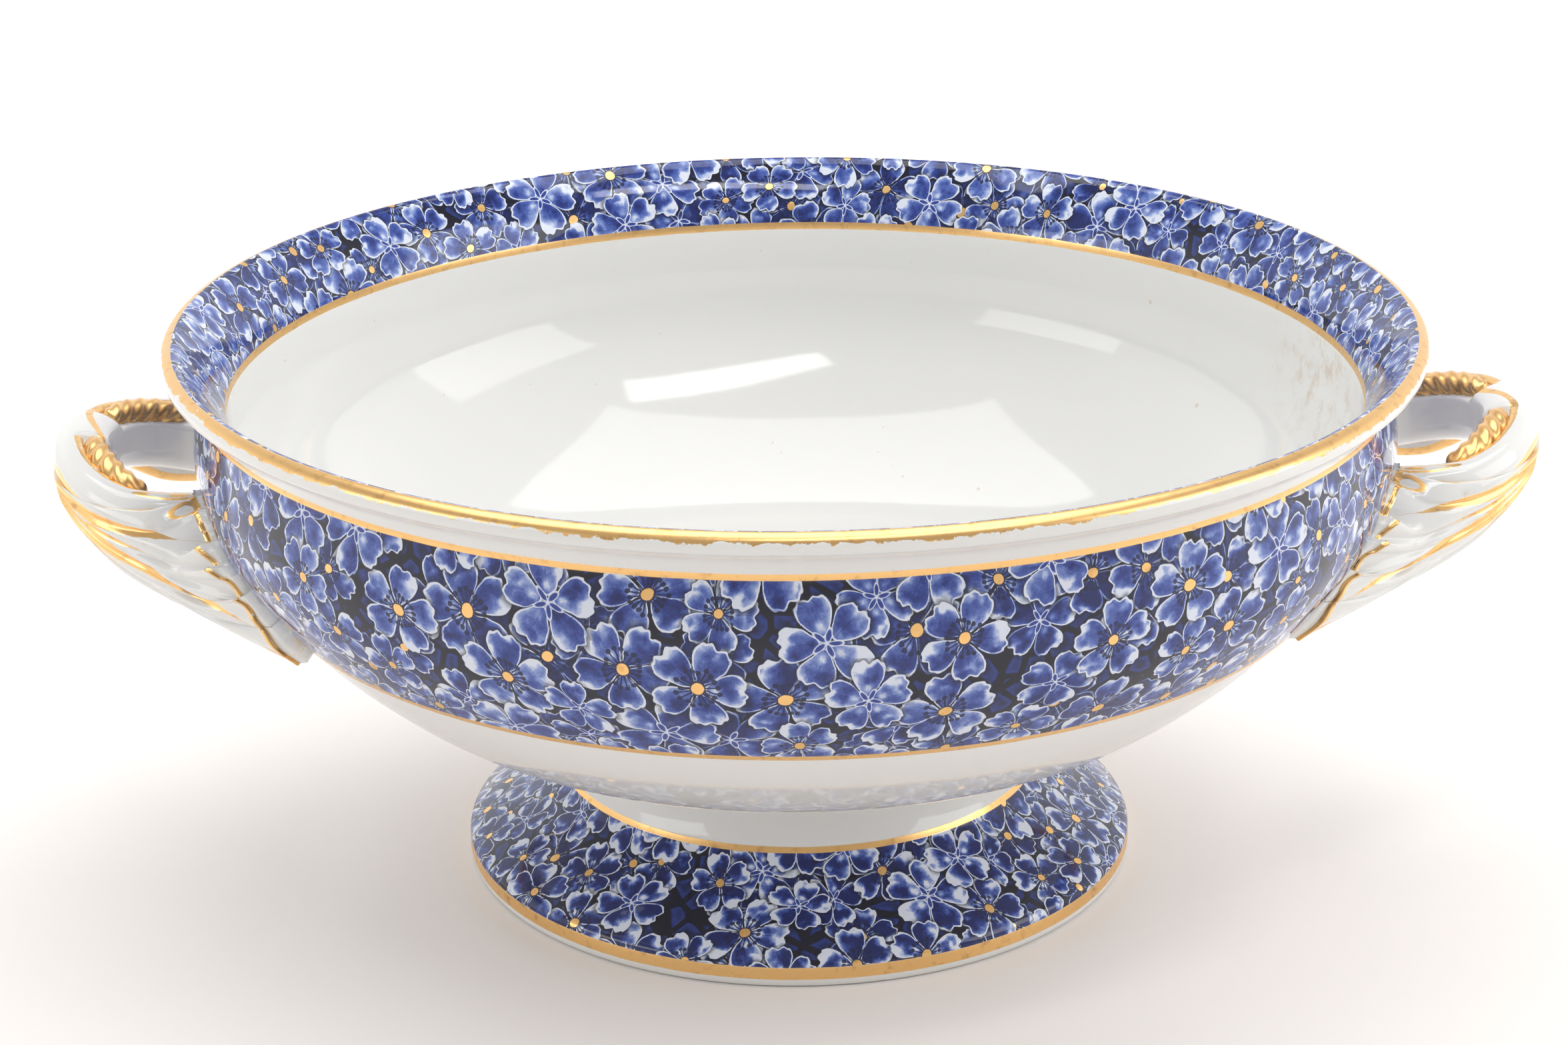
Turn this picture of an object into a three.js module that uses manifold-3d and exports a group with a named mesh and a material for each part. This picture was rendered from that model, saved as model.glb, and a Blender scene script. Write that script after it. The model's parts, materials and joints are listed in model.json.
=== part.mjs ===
// Footed porcelain serving bowl with two acanthus loop handles.
// Millimetres, +Z up. The origin is the centre of the resting ring, on the surface that the bowl stands on,
// and the handles lie along X.
import * as THREE from "three";
import { mergeVertices } from "three/addons/utils/BufferGeometryUtils.js";
import Module from "manifold-3d";

const wasm = await Module();
wasm.setup();

// ---------------------------------------------------------------- driving dimensions
const HEIGHT = 128.3; // resting ring to the crest of the lip
const RIM_RADIUS = 140; // outermost point of the rolled lip
const BELLY_RADIUS = 134; // widest point of the wall, just under the lip
const FOOT_RADIUS = 77.5; // outermost point of the pedestal foot
const NECK_RADIUS = 51.5; // narrow top of the foot, where it is luted to the body
const NECK_HEIGHT = 35.4; // top face of the foot above the resting face
const RESTING_WIDTH = 6; // width of the unglazed resting ring
const SEAT_HEIGHT = 37; // underside of the body, over the foot
const FLOOR_HEIGHT = 44.5; // inside floor of the bowl, at its centre
const GAP = 0.3; // clearance between pieces that are luted together
const SLIP_THICKNESS = 1; // layer of luting slip in each joint

const HANDLE_REACH = 161; // centreline of the loop at its apex, from the bowl's axis
const HANDLE_HALF_SPREAD = 29.5; // centreline of a branch from the handle's middle plane
const STRAP_HALF_THICKNESS = 6.4;
const COLLAR_HALF_SHARE = 0.09; // share of the loop's length left plain on each side of the apex
// The handles are luted on by hand, so each one sits a little lower than drawn, by its own amount.
const RIGHT_HANDLE_DROP = 0.3;
const LEFT_HANDLE_DROP = 3.7;

const TURN_STEPS = 60;
const LOOP_STEPS = 24;
const LEAF_STEPS = 14;

// ---------------------------------------------------------------- materials
const glaze = () => new THREE.MeshStandardMaterial({ color: 0xe6e4df, roughness: 0.12, metalness: 0 });
const printedGlaze = () => new THREE.MeshStandardMaterial({ color: 0x8d97bd, roughness: 0.14, metalness: 0 });
const gilding = () => new THREE.MeshStandardMaterial({ color: 0xc79a5a, roughness: 0.28, metalness: 1 });
const slip = () => new THREE.MeshStandardMaterial({ color: 0xd4d2ca, roughness: 0.35, metalness: 0 });

// ---------------------------------------------------------------- small geometry helpers
const at = (radius, height) => new THREE.Vector2(radius, height);

/** Samples a smooth curve through the given profile points. */
function smooth(points, steps) {
  return new THREE.SplineCurve(points).getPoints(steps);
}

/** Removes a point that repeats the one before it. */
function withoutRepeats(points) {
  return points.filter((point, i) => i === 0 || point.distanceTo(points[i - 1]) > 1e-4);
}

/** Turns a profile about +Z. LatheGeometry turns about +Y, so the result is stood up. */
function turned(profile) {
  const geometry = new THREE.LatheGeometry(withoutRepeats(profile), TURN_STEPS);
  geometry.rotateX(Math.PI / 2);
  return geometry;
}

/** Closed body through a row of rings that all have the same number of points, capped at both ends. */
function loft(rings) {
  const count = rings[0].length;
  const centres = [rings[0], rings.at(-1)].map((ring) =>
    ring.reduce((sum, point) => sum.add(point), new THREE.Vector3()).divideScalar(count));
  const positions = [...rings.flat(), ...centres].flatMap((point) => point.toArray());
  const firstCentre = rings.length * count;
  const indices = [];
  for (let j = 0; j < count; j += 1) {
    const next = (j + 1) % count;
    for (let i = 0; i < rings.length - 1; i += 1) {
      const [a, b, c, d] = [i * count + j, i * count + next, (i + 1) * count + j, (i + 1) * count + next];
      indices.push(a, b, c, b, d, c);
    }
    const last = (rings.length - 1) * count;
    indices.push(firstCentre, next, j);
    indices.push(firstCentre + 1, last + j, last + next);
  }
  const geometry = new THREE.BufferGeometry();
  geometry.setAttribute("position", new THREE.Float32BufferAttribute(positions, 3));
  geometry.setIndex(indices);
  return geometry;
}

/** Turns a closed geometry into a manifold solid, with its faces pointing out. */
function toSolid(source) {
  const bare = source.clone();
  bare.deleteAttribute("normal");
  bare.deleteAttribute("uv");
  const merged = mergeVertices(bare, 1e-4);
  const corners = merged.index.array;
  const kept = [];
  for (let i = 0; i < corners.length; i += 3) {
    const [a, b, c] = [corners[i], corners[i + 1], corners[i + 2]];
    if (a !== b && b !== c && c !== a) kept.push(a, b, c);
  }
  const make = (order) => new wasm.Manifold(new wasm.Mesh({
    numProp: 3,
    vertProperties: new Float32Array(merged.attributes.position.array),
    triVerts: new Uint32Array(order),
  }));
  const solid = make(kept);
  if (solid.volume() > 0) return solid;
  const flipped = kept.map((_, i) => kept[i - (i % 3) + [0, 2, 1][i % 3]]);
  return make(flipped);
}

/** Takes the largest single body of a solid back to a three.js geometry. */
function toGeometry(solid) {
  const body = solid.decompose().reduce((best, piece) => (piece.volume() > best.volume() ? piece : best));
  const mesh = body.getMesh();
  const geometry = new THREE.BufferGeometry();
  geometry.setAttribute("position", new THREE.BufferAttribute(new Float32Array(mesh.vertProperties), 3));
  geometry.setIndex(new THREE.BufferAttribute(new Uint32Array(mesh.triVerts), 1));
  geometry.computeVertexNormals();
  return geometry;
}

function named(name, geometry, material) {
  const mesh = new THREE.Mesh(geometry, material);
  mesh.name = name;
  return mesh;
}

// ---------------------------------------------------------------- bowl body
/** Outside of the wall, from the seat over the foot up to the groove under the lip. */
function outerWall(steps) {
  return smooth([
    at(NECK_RADIUS + 1, SEAT_HEIGHT),
    at(70, 40.6),
    at(92.3, 49),
    at(108.3, 61),
    at(121.5, 74.8),
    at(BELLY_RADIUS - 3, 89),
    at(BELLY_RADIUS, 101),
    at(BELLY_RADIUS - 1.3, HEIGHT - 11),
  ], steps);
}

function bowlBody() {
  const rolledLip = smooth([
    at(134.6, HEIGHT - 7.5),
    at(138.6, HEIGHT - 4.4),
    at(RIM_RADIUS, HEIGHT - 2.4),
    at(139, HEIGHT - 0.7),
    at(137.4, HEIGHT),
    at(135.8, HEIGHT - 0.9),
  ], 9);
  const flare = smooth([
    at(133.6, HEIGHT - 3.2),
    at(129.2, HEIGHT - 9.1),
    at(126.5, HEIGHT - 15.4),
    at(126.6, 101),
    at(123.6, 88),
    at(114.4, 74.6),
    at(101.2, 62),
    at(84, 52.2),
    at(60, 46.6),
    at(30, 44.9),
    at(0, FLOOR_HEIGHT),
  ], 26);
  return turned([at(0, SEAT_HEIGHT), ...outerWall(18), ...rolledLip, ...flare]);
}

/** The body's outside, grown sideways, used to cut a handle piece so that it seats on the wall. */
function wallCutter(clearance) {
  const grown = outerWall(18).map((point) => at(point.x + clearance, point.y));
  const top = grown.at(-1);
  return toSolid(turned([at(0, grown[0].y), ...grown, at(top.x, HEIGHT), at(0, HEIGHT)]));
}

// ---------------------------------------------------------------- pedestal foot
function foot() {
  const outside = smooth([
    at(NECK_RADIUS, NECK_HEIGHT),
    at(52.6, 28),
    at(55.4, 21.6),
    at(62.6, 15),
    at(71.5, 10),
    at(75.8, 7.2),
  ], 12);
  const edge = [at(FOOT_RADIUS, 4.6), at(FOOT_RADIUS, 1.6), at(FOOT_RADIUS - 0.9, 0.4), at(FOOT_RADIUS - 1.5, 0)];
  const innerBase = FOOT_RADIUS - 1.5 - RESTING_WIDTH;
  const inside = smooth([
    at(innerBase, 0),
    at(innerBase - 1, 3.4),
    at(60, 9.5),
    at(50.5, 17),
    at(46, 26),
    at(44.5, NECK_HEIGHT),
  ], 9);
  return turned([...outside, ...edge, ...inside, outside[0].clone()].reverse());
}

function footSlip() {
  const low = NECK_HEIGHT + GAP;
  const high = SEAT_HEIGHT - GAP;
  return turned([at(45, low), at(NECK_RADIUS, low), at(NECK_RADIUS + 0.5, high), at(45, high), at(45, low)]);
}

// ---------------------------------------------------------------- handle loop
/** Crest of the strap in one handle at +X: out from the wall, round the apex and back to the wall. */
function crestPath() {
  const half = [
    [118, -23, 99.6],
    [131, -27.4, 101],
    [139, -HANDLE_HALF_SPREAD, 102],
    [146.4, -28.4, 103],
    [153.6, -22.6, 105.2],
    [158.9, -12.6, 107.4],
  ];
  const points = [...half, [HANDLE_REACH, 0, 108.2], ...half.map(([x, y, z]) => [x, -y, z]).reverse()];
  return new THREE.CatmullRomCurve3(points.map((point) => new THREE.Vector3(...point)));
}

/** Sections of a shape swept along the crest. The shape is given as [outwards, upwards] pairs. */
function sweptAlongCrest(shapeAt, from, to, steps) {
  const path = crestPath();
  const rings = [];
  for (let i = 0; i <= steps; i += 1) {
    const share = from + ((to - from) * i) / steps;
    const centre = path.getPointAt(share);
    const along = path.getTangentAt(share);
    const outwards = new THREE.Vector3(along.y, -along.x, 0).normalize();
    rings.push(shapeAt(share).map(([out, up]) =>
      centre.clone().addScaledVector(outwards, out).add(new THREE.Vector3(0, 0, up))));
  }
  return loft(rings);
}

/** Strap section: a rounded top, a slanted inner shoulder for the rope twist, and a tall narrow web. */
function strapSection(share, growth) {
  const towardsWall = Math.abs(share - 0.5) * 2;
  const depth = 15 + 3 * towardsWall;
  const half = STRAP_HALF_THICKNESS;
  const outline = [
    [2.4, 0],
    [4.8, -1.1],
    [half, -4.4],
    [half, -0.62 * depth],
    [0.55 * half, -0.93 * depth],
    [0, -depth],
    [-0.6 * half, -0.93 * depth],
    [-0.92 * half, -0.75 * depth],
    [-half, -3.8],
    [0.6, -0.5],
  ];
  const middle = -depth / 2;
  return outline.map(([out, up]) => [
    out * (1 + growth / half),
    middle + (up - middle) * (1 + (2 * growth) / depth),
  ]);
}

function strap(growth) {
  return sweptAlongCrest((share) => strapSection(share, growth), 0, 1, LOOP_STEPS);
}

/** Low half-round bar that lies on the strap's slanted inner shoulder. */
function ropeTwist(from, to) {
  const crestSide = new THREE.Vector2(0.2, -0.7);
  const openingSide = new THREE.Vector2(-5.9, -3.5);
  const across = openingSide.clone().sub(crestSide);
  const outward = new THREE.Vector2(across.y, -across.x).normalize();
  const rise = 1.5;
  const steps = 6;
  const outline = Array.from({ length: steps + 1 }, (_, k) => {
    const angle = (Math.PI * k) / steps;
    const spot = crestSide.clone().addScaledVector(across, (1 - Math.cos(angle)) / 2);
    return spot.addScaledVector(outward, GAP + 0.15 + rise * Math.sin(angle)).toArray();
  });
  return sweptAlongCrest(() => outline, from, to, 14);
}

// ---------------------------------------------------------------- acanthus leaf
/** Sections of one leaf: upper edge, lower edge, outward lean and depth, from the apex to the wall. */
const LEAF_SECTIONS = [
  { upper: [166.6, -5, 101.5], lower: [163.2, -7, 96], lean: [1, -0.25, -0.2], bulge: 0.4, depth: 4 },
  { upper: [163.8, -19, 100.5], lower: [159.2, -20, 91], lean: [0.86, -0.5, -0.2], bulge: 1.4, depth: 5 },
  { upper: [154, -31.5, 99.5], lower: [149, -29, 83], lean: [0.55, -0.8, -0.3], bulge: 2.4, depth: 6 },
  { upper: [142.5, -37, 98.5], lower: [135, -40, 79.5], lean: [0.4, -0.86, -0.3], bulge: 2.4, depth: 9 },
  { upper: [133, -37, 97.5], lower: [121, -51.5, 76.5], lean: [0.5, -0.8, -0.34], bulge: 2, depth: 12 },
  { upper: [125, -35.5, 96.5], lower: [108.5, -60.5, 73], lean: [0.6, -0.72, -0.36], bulge: 1, depth: 12 },
  { upper: [120, -34, 96], lower: [99, -61, 72], lean: [0.66, -0.66, -0.36], bulge: 0.5, depth: 10 },
];

function leafBlank() {
  const curves = Object.fromEntries(["upper", "lower", "lean"].map((key) => [
    key, new THREE.CatmullRomCurve3(LEAF_SECTIONS.map((section) => new THREE.Vector3(...section[key])))]));
  const numbers = new THREE.SplineCurve(LEAF_SECTIONS.map(({ bulge, depth }) => at(bulge, depth)));
  const outerSteps = 6;
  const rings = [];
  for (let i = 0; i <= LEAF_STEPS; i += 1) {
    const share = i / LEAF_STEPS;
    const upper = curves.upper.getPoint(share);
    const lower = curves.lower.getPoint(share);
    const lean = curves.lean.getPoint(share).normalize();
    const { x: bulge, y: depth } = numbers.getPoint(share);
    const ring = [];
    for (let k = 0; k <= outerSteps; k += 1) {
      const across = k / outerSteps;
      const spot = upper.clone().lerp(lower, across);
      ring.push(spot.addScaledVector(lean, bulge * Math.sin(Math.PI * across) ** 0.7));
    }
    ring.push(lower.clone().addScaledVector(lean, -0.5 * depth).add(new THREE.Vector3(0, 0, 2)));
    ring.push(lower.clone().lerp(upper, 0.35).addScaledVector(lean, -depth));
    ring.push(upper.clone().lerp(lower, 0.1).addScaledVector(lean, -depth));
    rings.push(ring);
  }
  return toSolid(loft(rings));
}

// ---------------------------------------------------------------- one handle, built at +X
/** The pieces of one handle. The near branch lies at -Y and the far branch at +Y. */
function handlePieces(drop) {
  const lowered = [0, 0, -drop];
  const wall = wallCutter(GAP);
  const slipOuter = wallCutter(GAP + SLIP_THICKNESS);
  const strapSeat = wallCutter(2 * GAP + SLIP_THICKNESS);
  const strapSolid = toSolid(strap(0)).translate(lowered);
  const strapRoom = toSolid(strap(GAP)).translate(lowered);
  const rootLayer = strapSolid.intersect(slipOuter).subtract(wall);
  const nearSide = rootLayer.decompose().find((piece) => piece.boundingBox().max[1] < 0);
  const farSide = rootLayer.decompose().find((piece) => piece.boundingBox().min[1] > 0);
  const nearLeaf = leafBlank().translate(lowered).subtract(wall).subtract(strapRoom);
  const farLeaf = nearLeaf.mirror([0, 1, 0]);
  const ropeStart = 0.17;
  const ropeEnd = 0.5 - COLLAR_HALF_SHARE;
  return {
    loop: toGeometry(strapSolid.subtract(strapSeat)),
    leaf: { near: toGeometry(nearLeaf), far: toGeometry(farLeaf) },
    slip: { near: toGeometry(nearSide), far: toGeometry(farSide) },
    rope: {
      near: toGeometry(toSolid(ropeTwist(ropeStart, ropeEnd)).translate(lowered)),
      far: toGeometry(toSolid(ropeTwist(1 - ropeEnd, 1 - ropeStart)).translate(lowered)),
    },
  };
}

/** One placed handle. On the left handle the half turn brings the near branch to the back. */
function handle(side, turn, pieces) {
  const group = new THREE.Group();
  group.rotation.z = turn;
  const ends = turn === 0 ? { near: "front", far: "back" } : { near: "back", far: "front" };
  group.add(named(`${side}_handle_loop`, pieces.loop, glaze()));
  for (const [branch, end] of Object.entries(ends)) {
    group.add(named(`${side}_handle_${end}_leaf`, pieces.leaf[branch], glaze()));
    group.add(named(`${side}_handle_${end}_rope_twist`, pieces.rope[branch], gilding()));
    group.add(named(`${side}_handle_${end}_slip_joint`, pieces.slip[branch], slip()));
  }
  return group;
}

// ---------------------------------------------------------------- the whole bowl
const bowl = new THREE.Group();
bowl.add(named("bowl_body", bowlBody(), printedGlaze()));
bowl.add(named("pedestal_foot", foot(), printedGlaze()));
bowl.add(named("foot_slip_joint", footSlip(), slip()));
bowl.add(handle("right", 0, handlePieces(RIGHT_HANDLE_DROP)));
bowl.add(handle("left", Math.PI, handlePieces(LEFT_HANDLE_DROP)));

export default bowl;
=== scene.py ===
"""Footed porcelain serving bowl: blossom print, gilding and two acanthus loop handles.

Sizes are in millimetres in the classes below and turned to metres where a mesh is made.
"""

from __future__ import annotations

import json
import logging
import math
from dataclasses import dataclass, field
from enum import Enum
from typing import Any, Callable, Sequence

import bpy
import numpy as np
from mathutils import Matrix, Vector

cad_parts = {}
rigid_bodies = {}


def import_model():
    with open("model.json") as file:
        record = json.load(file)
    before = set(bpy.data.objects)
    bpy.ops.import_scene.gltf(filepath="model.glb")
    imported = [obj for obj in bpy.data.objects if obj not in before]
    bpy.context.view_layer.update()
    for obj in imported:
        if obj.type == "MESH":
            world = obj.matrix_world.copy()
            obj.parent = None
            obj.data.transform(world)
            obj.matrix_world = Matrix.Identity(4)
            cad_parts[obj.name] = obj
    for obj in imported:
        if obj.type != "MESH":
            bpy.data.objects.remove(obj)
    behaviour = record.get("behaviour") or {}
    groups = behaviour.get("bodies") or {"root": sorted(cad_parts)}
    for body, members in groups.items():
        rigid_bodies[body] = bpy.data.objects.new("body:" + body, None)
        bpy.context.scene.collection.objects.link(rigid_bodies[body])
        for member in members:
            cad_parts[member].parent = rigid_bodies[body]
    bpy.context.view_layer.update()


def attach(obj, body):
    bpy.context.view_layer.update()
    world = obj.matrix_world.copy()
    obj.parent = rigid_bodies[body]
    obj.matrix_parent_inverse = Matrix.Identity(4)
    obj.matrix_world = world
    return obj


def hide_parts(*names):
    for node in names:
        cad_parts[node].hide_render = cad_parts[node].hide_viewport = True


MM = 0.001
TAU = 2.0 * math.pi
GLAZE_IOR = 1.56
LOG = logging.getLogger("serving_bowl")

Colour = tuple[float, float, float, float]
Point3 = tuple[float, float, float]


class Slot(str, Enum):
    """Material slots of the record."""

    PRINTED = "printed_porcelain"
    WHITE = "white_porcelain"
    GILDING = "gilding"
    SLIP = "luting_slip"


class Side(Enum):
    """The two handles: sign of X, and how far each one was luted below its drawn height."""

    RIGHT = (1.0, 0.3)
    LEFT = (-1.0, 3.7)

    @property
    def sign(self) -> float:
        """Sign of X on this side."""
        return self.value[0]

    @property
    def drop(self) -> float:
        """Millimetres below the drawn height."""
        return self.value[1]


# ------------------------------------------------------------------------------ numbers and curves
def smooth_line(points: Sequence[Sequence[float]], step: float) -> np.ndarray:
    """Samples a smooth curve through points.

    Args:
        points: Points that the curve passes through.
        step: Longest distance between samples.

    Returns:
        The samples, one row each.
    """
    knots = np.asarray(points, float)
    padded = np.vstack([knots[0], knots, knots[-1]])
    samples = []
    for i in range(len(knots) - 1):
        a, b, c, d = padded[i : i + 4]
        count = max(1, math.ceil(float(np.linalg.norm(c - b)) / step))
        t = (np.arange(count) / count)[:, None]
        tangent_b, tangent_c = (c - a) / 2.0, (d - b) / 2.0
        samples.append(
            (2 * t**3 - 3 * t**2 + 1) * b
            + (t**3 - 2 * t**2 + t) * tangent_b
            + (3 * t**2 - 2 * t**3) * c
            + (t**3 - t**2) * tangent_c
        )
    return np.vstack([*samples, knots[-1]])


def along(table: np.ndarray, share: np.ndarray) -> np.ndarray:
    """Smooth values between the rows of a table.

    Args:
        table: One row per evenly spaced knot.
        share: Places along the table, 0 to 1.

    Returns:
        One row for each place.
    """
    last = len(table) - 1
    place = np.clip(np.asarray(share, float) * last, 0.0, last - 1e-9)
    i = place.astype(int)
    t = (place - i).reshape((-1,) + (1,) * (table.ndim - 1))
    rows = [table[np.clip(i + k, 0, last)] for k in (-1, 0, 1, 2)]
    tangent_b, tangent_c = (rows[2] - rows[0]) / 2.0, (rows[3] - rows[1]) / 2.0
    return (
        (2 * t**3 - 3 * t**2 + 1) * rows[1]
        + (t**3 - 2 * t**2 + t) * tangent_b
        + (3 * t**2 - 2 * t**3) * rows[2]
        + (t**3 - t**2) * tangent_c
    )


def unit(vectors: np.ndarray) -> np.ndarray:
    """Vectors scaled to length one."""
    return vectors / np.linalg.norm(vectors, axis=-1, keepdims=True)


# ------------------------------------------------------------------------------ shader arithmetic
class Term:
    """One number on a node board. Arithmetic on terms adds Math nodes."""

    def __init__(self, board: "Board", socket: Any) -> None:
        """Wraps an output socket."""
        self.board = board
        self.socket = socket

    def _math(self, operation: str, *others: Any) -> "Term":
        """Adds a Math node with this term as its first value."""
        return self.board.math(operation, self, *others)

    def __add__(self, other: Any) -> "Term":
        """Sum."""
        return self._math("ADD", other)

    __radd__ = __add__

    def __sub__(self, other: Any) -> "Term":
        """Difference."""
        return self._math("SUBTRACT", other)

    def __rsub__(self, other: Any) -> "Term":
        """Difference from a plain number."""
        return self.board.math("SUBTRACT", other, self)

    def __mul__(self, other: Any) -> "Term":
        """Product."""
        return self._math("MULTIPLY", other)

    __rmul__ = __mul__

    def __truediv__(self, other: Any) -> "Term":
        """Quotient."""
        return self._math("DIVIDE", other)

    def sine(self) -> "Term":
        """Sine."""
        return self._math("SINE")

    def cosine(self) -> "Term":
        """Cosine."""
        return self._math("COSINE")

    def size(self) -> "Term":
        """Absolute value."""
        return self._math("ABSOLUTE")

    def floor(self) -> "Term":
        """Whole number below."""
        return self._math("FLOOR")

    def fraction(self) -> "Term":
        """Part above the whole number."""
        return self._math("FRACT")

    def squared(self) -> "Term":
        """Square."""
        return self._math("MULTIPLY", self)

    def root(self) -> "Term":
        """Square root."""
        return self._math("SQRT")

    def most(self, other: Any) -> "Term":
        """Larger of the two."""
        return self._math("MAXIMUM", other)

    def least(self, other: Any) -> "Term":
        """Smaller of the two."""
        return self._math("MINIMUM", other)

    def rise(self, low: float, high: float) -> "Term":
        """Goes smoothly from 0 at low to 1 at high; falls if low is above high.

        Args:
            low: Where it starts to leave 0.
            high: Where it reaches 1.

        Returns:
            The smooth step.
        """
        node = self.board.node("ShaderNodeMapRange")
        node.interpolation_type = "SMOOTHSTEP"
        self.board.feed(node.inputs["Value"], self)
        node.inputs["From Min"].default_value = low
        node.inputs["From Max"].default_value = high
        return Term(self.board, node.outputs["Result"])

    def bump_at(self, centre: Any, width: float) -> "Term":
        """Soft hump of height 1 at a place, with the given half width."""
        offset = (self - centre) / width
        return self.board.math("POWER", math.e, offset * offset * -1.0)

    def inside(self, low: Any, high: Any, edge: float) -> "Term":
        """1 between two places and 0 outside them, with soft edges."""
        return (self - low).rise(-edge, edge) * (self - high).rise(edge, -edge)


class Board:
    """The nodes of one shader tree."""

    def __init__(self, tree: Any) -> None:
        """Wraps a node tree."""
        self.tree = tree

    def node(self, kind: str, **inputs: Any) -> Any:
        """Adds a node.

        Args:
            kind: Type of node.
            inputs: Values or sockets by input name, with _ for a space.

        Returns:
            The node.
        """
        made = self.tree.nodes.new(kind)
        for name, value in inputs.items():
            self.feed(made.inputs[name.replace("_", " ")], value)
        return made

    def feed(self, socket: Any, value: Any) -> None:
        """Links or sets one input socket.

        Args:
            socket: The input socket.
            value: A term, a socket or a plain value.
        """
        if isinstance(value, Term):
            value = value.socket
        if isinstance(value, bpy.types.NodeSocket):
            self.tree.links.new(value, socket)
        else:
            socket.default_value = value

    def math(self, operation: str, *values: Any) -> Term:
        """Adds a Math node.

        Args:
            operation: Its operation.
            values: Its values.

        Returns:
            Its result.
        """
        made = self.tree.nodes.new("ShaderNodeMath")
        made.operation = operation
        for i, value in enumerate(values):
            self.feed(made.inputs[i], value)
        return Term(self, made.outputs[0])

    def blend(self, share: Any, below: Any, above: Any) -> Any:
        """Mixes two colours and returns the colour socket.

        Args:
            share: Share of the upper colour.
            below: Colour at share 0.
            above: Colour at share 1.

        Returns:
            The mixed colour.
        """
        made = self.tree.nodes.new("ShaderNodeMix")
        made.data_type = "RGBA"
        for index, value in ((0, share), (6, below), (7, above)):
            self.feed(made.inputs[index], value)
        return made.outputs[2]

    def tint(self, share: Any, stops: Sequence[tuple[float, Colour]]) -> Any:
        """Looks a number up on a colour ramp and returns the colour socket.

        Args:
            share: The number.
            stops: The ramp's places and colours.

        Returns:
            The colour.
        """
        made = self.node("ShaderNodeValToRGB", Fac=share)
        ramp = made.color_ramp
        while len(ramp.elements) < len(stops):
            ramp.elements.new(0.5)
        for element, (place, colour) in zip(ramp.elements, stops):
            element.position = place
            element.color = colour
        return made.outputs["Color"]

    def attribute(self, name: str) -> Any:
        """Attribute node of the mesh.

        Args:
            name: Name of the attribute.

        Returns:
            The node.
        """
        made = self.node("ShaderNodeAttribute")
        made.attribute_name = name
        return made

    def parts(self, vector: Any) -> tuple[Term, Term, Term]:
        """X, Y and Z of a vector socket."""
        made = self.node("ShaderNodeSeparateXYZ", Vector=vector)
        return tuple(Term(self, made.outputs[i]) for i in range(3))

    def vector(self, x: Any, y: Any, z: Any) -> Any:
        """Vector socket made of three numbers."""
        return self.node("ShaderNodeCombineXYZ", X=x, Y=y, Z=z).outputs[0]

    def object_place(self) -> Any:
        """Object coordinates in metres."""
        return self.node("ShaderNodeTexCoord").outputs["Object"]

    def noise(self, vector: Any, scale: float, detail: float = 2.0, rough: float = 0.5) -> Term:
        """Noise between 0 and 1."""
        made = self.node("ShaderNodeTexNoise", Vector=vector, Scale=scale, Detail=detail, Roughness=rough)
        return Term(self, made.outputs["Fac"])


# ------------------------------------------------------------------------------ finishes
@dataclass(frozen=True)
class Pigments:
    """Colours of the ware, in linear light."""

    glaze: Colour = (0.80, 0.795, 0.775, 1.0)
    glaze_shade: Colour = (0.76, 0.76, 0.735, 1.0)
    gold: Colour = (0.90, 0.56, 0.23, 1.0)
    worn_gold: Colour = (0.58, 0.32, 0.12, 1.0)
    ground: Colour = (0.002, 0.003, 0.014, 1.0)
    deep_blue: Colour = (0.006, 0.014, 0.110, 1.0)
    dark_blue: Colour = (0.022, 0.046, 0.250, 1.0)
    mid_blue: Colour = (0.078, 0.130, 0.420, 1.0)
    pale_blue: Colour = (0.265, 0.350, 0.640, 1.0)
    petal_white: Colour = (0.690, 0.730, 0.830, 1.0)
    stamen: Colour = (0.006, 0.010, 0.060, 1.0)
    smear: Colour = (0.50, 0.53, 0.60, 1.0)
    stain: Colour = (0.50, 0.30, 0.09, 1.0)
    bare_clay: Colour = (0.66, 0.62, 0.54, 1.0)


PIGMENTS = Pigments()


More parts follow.
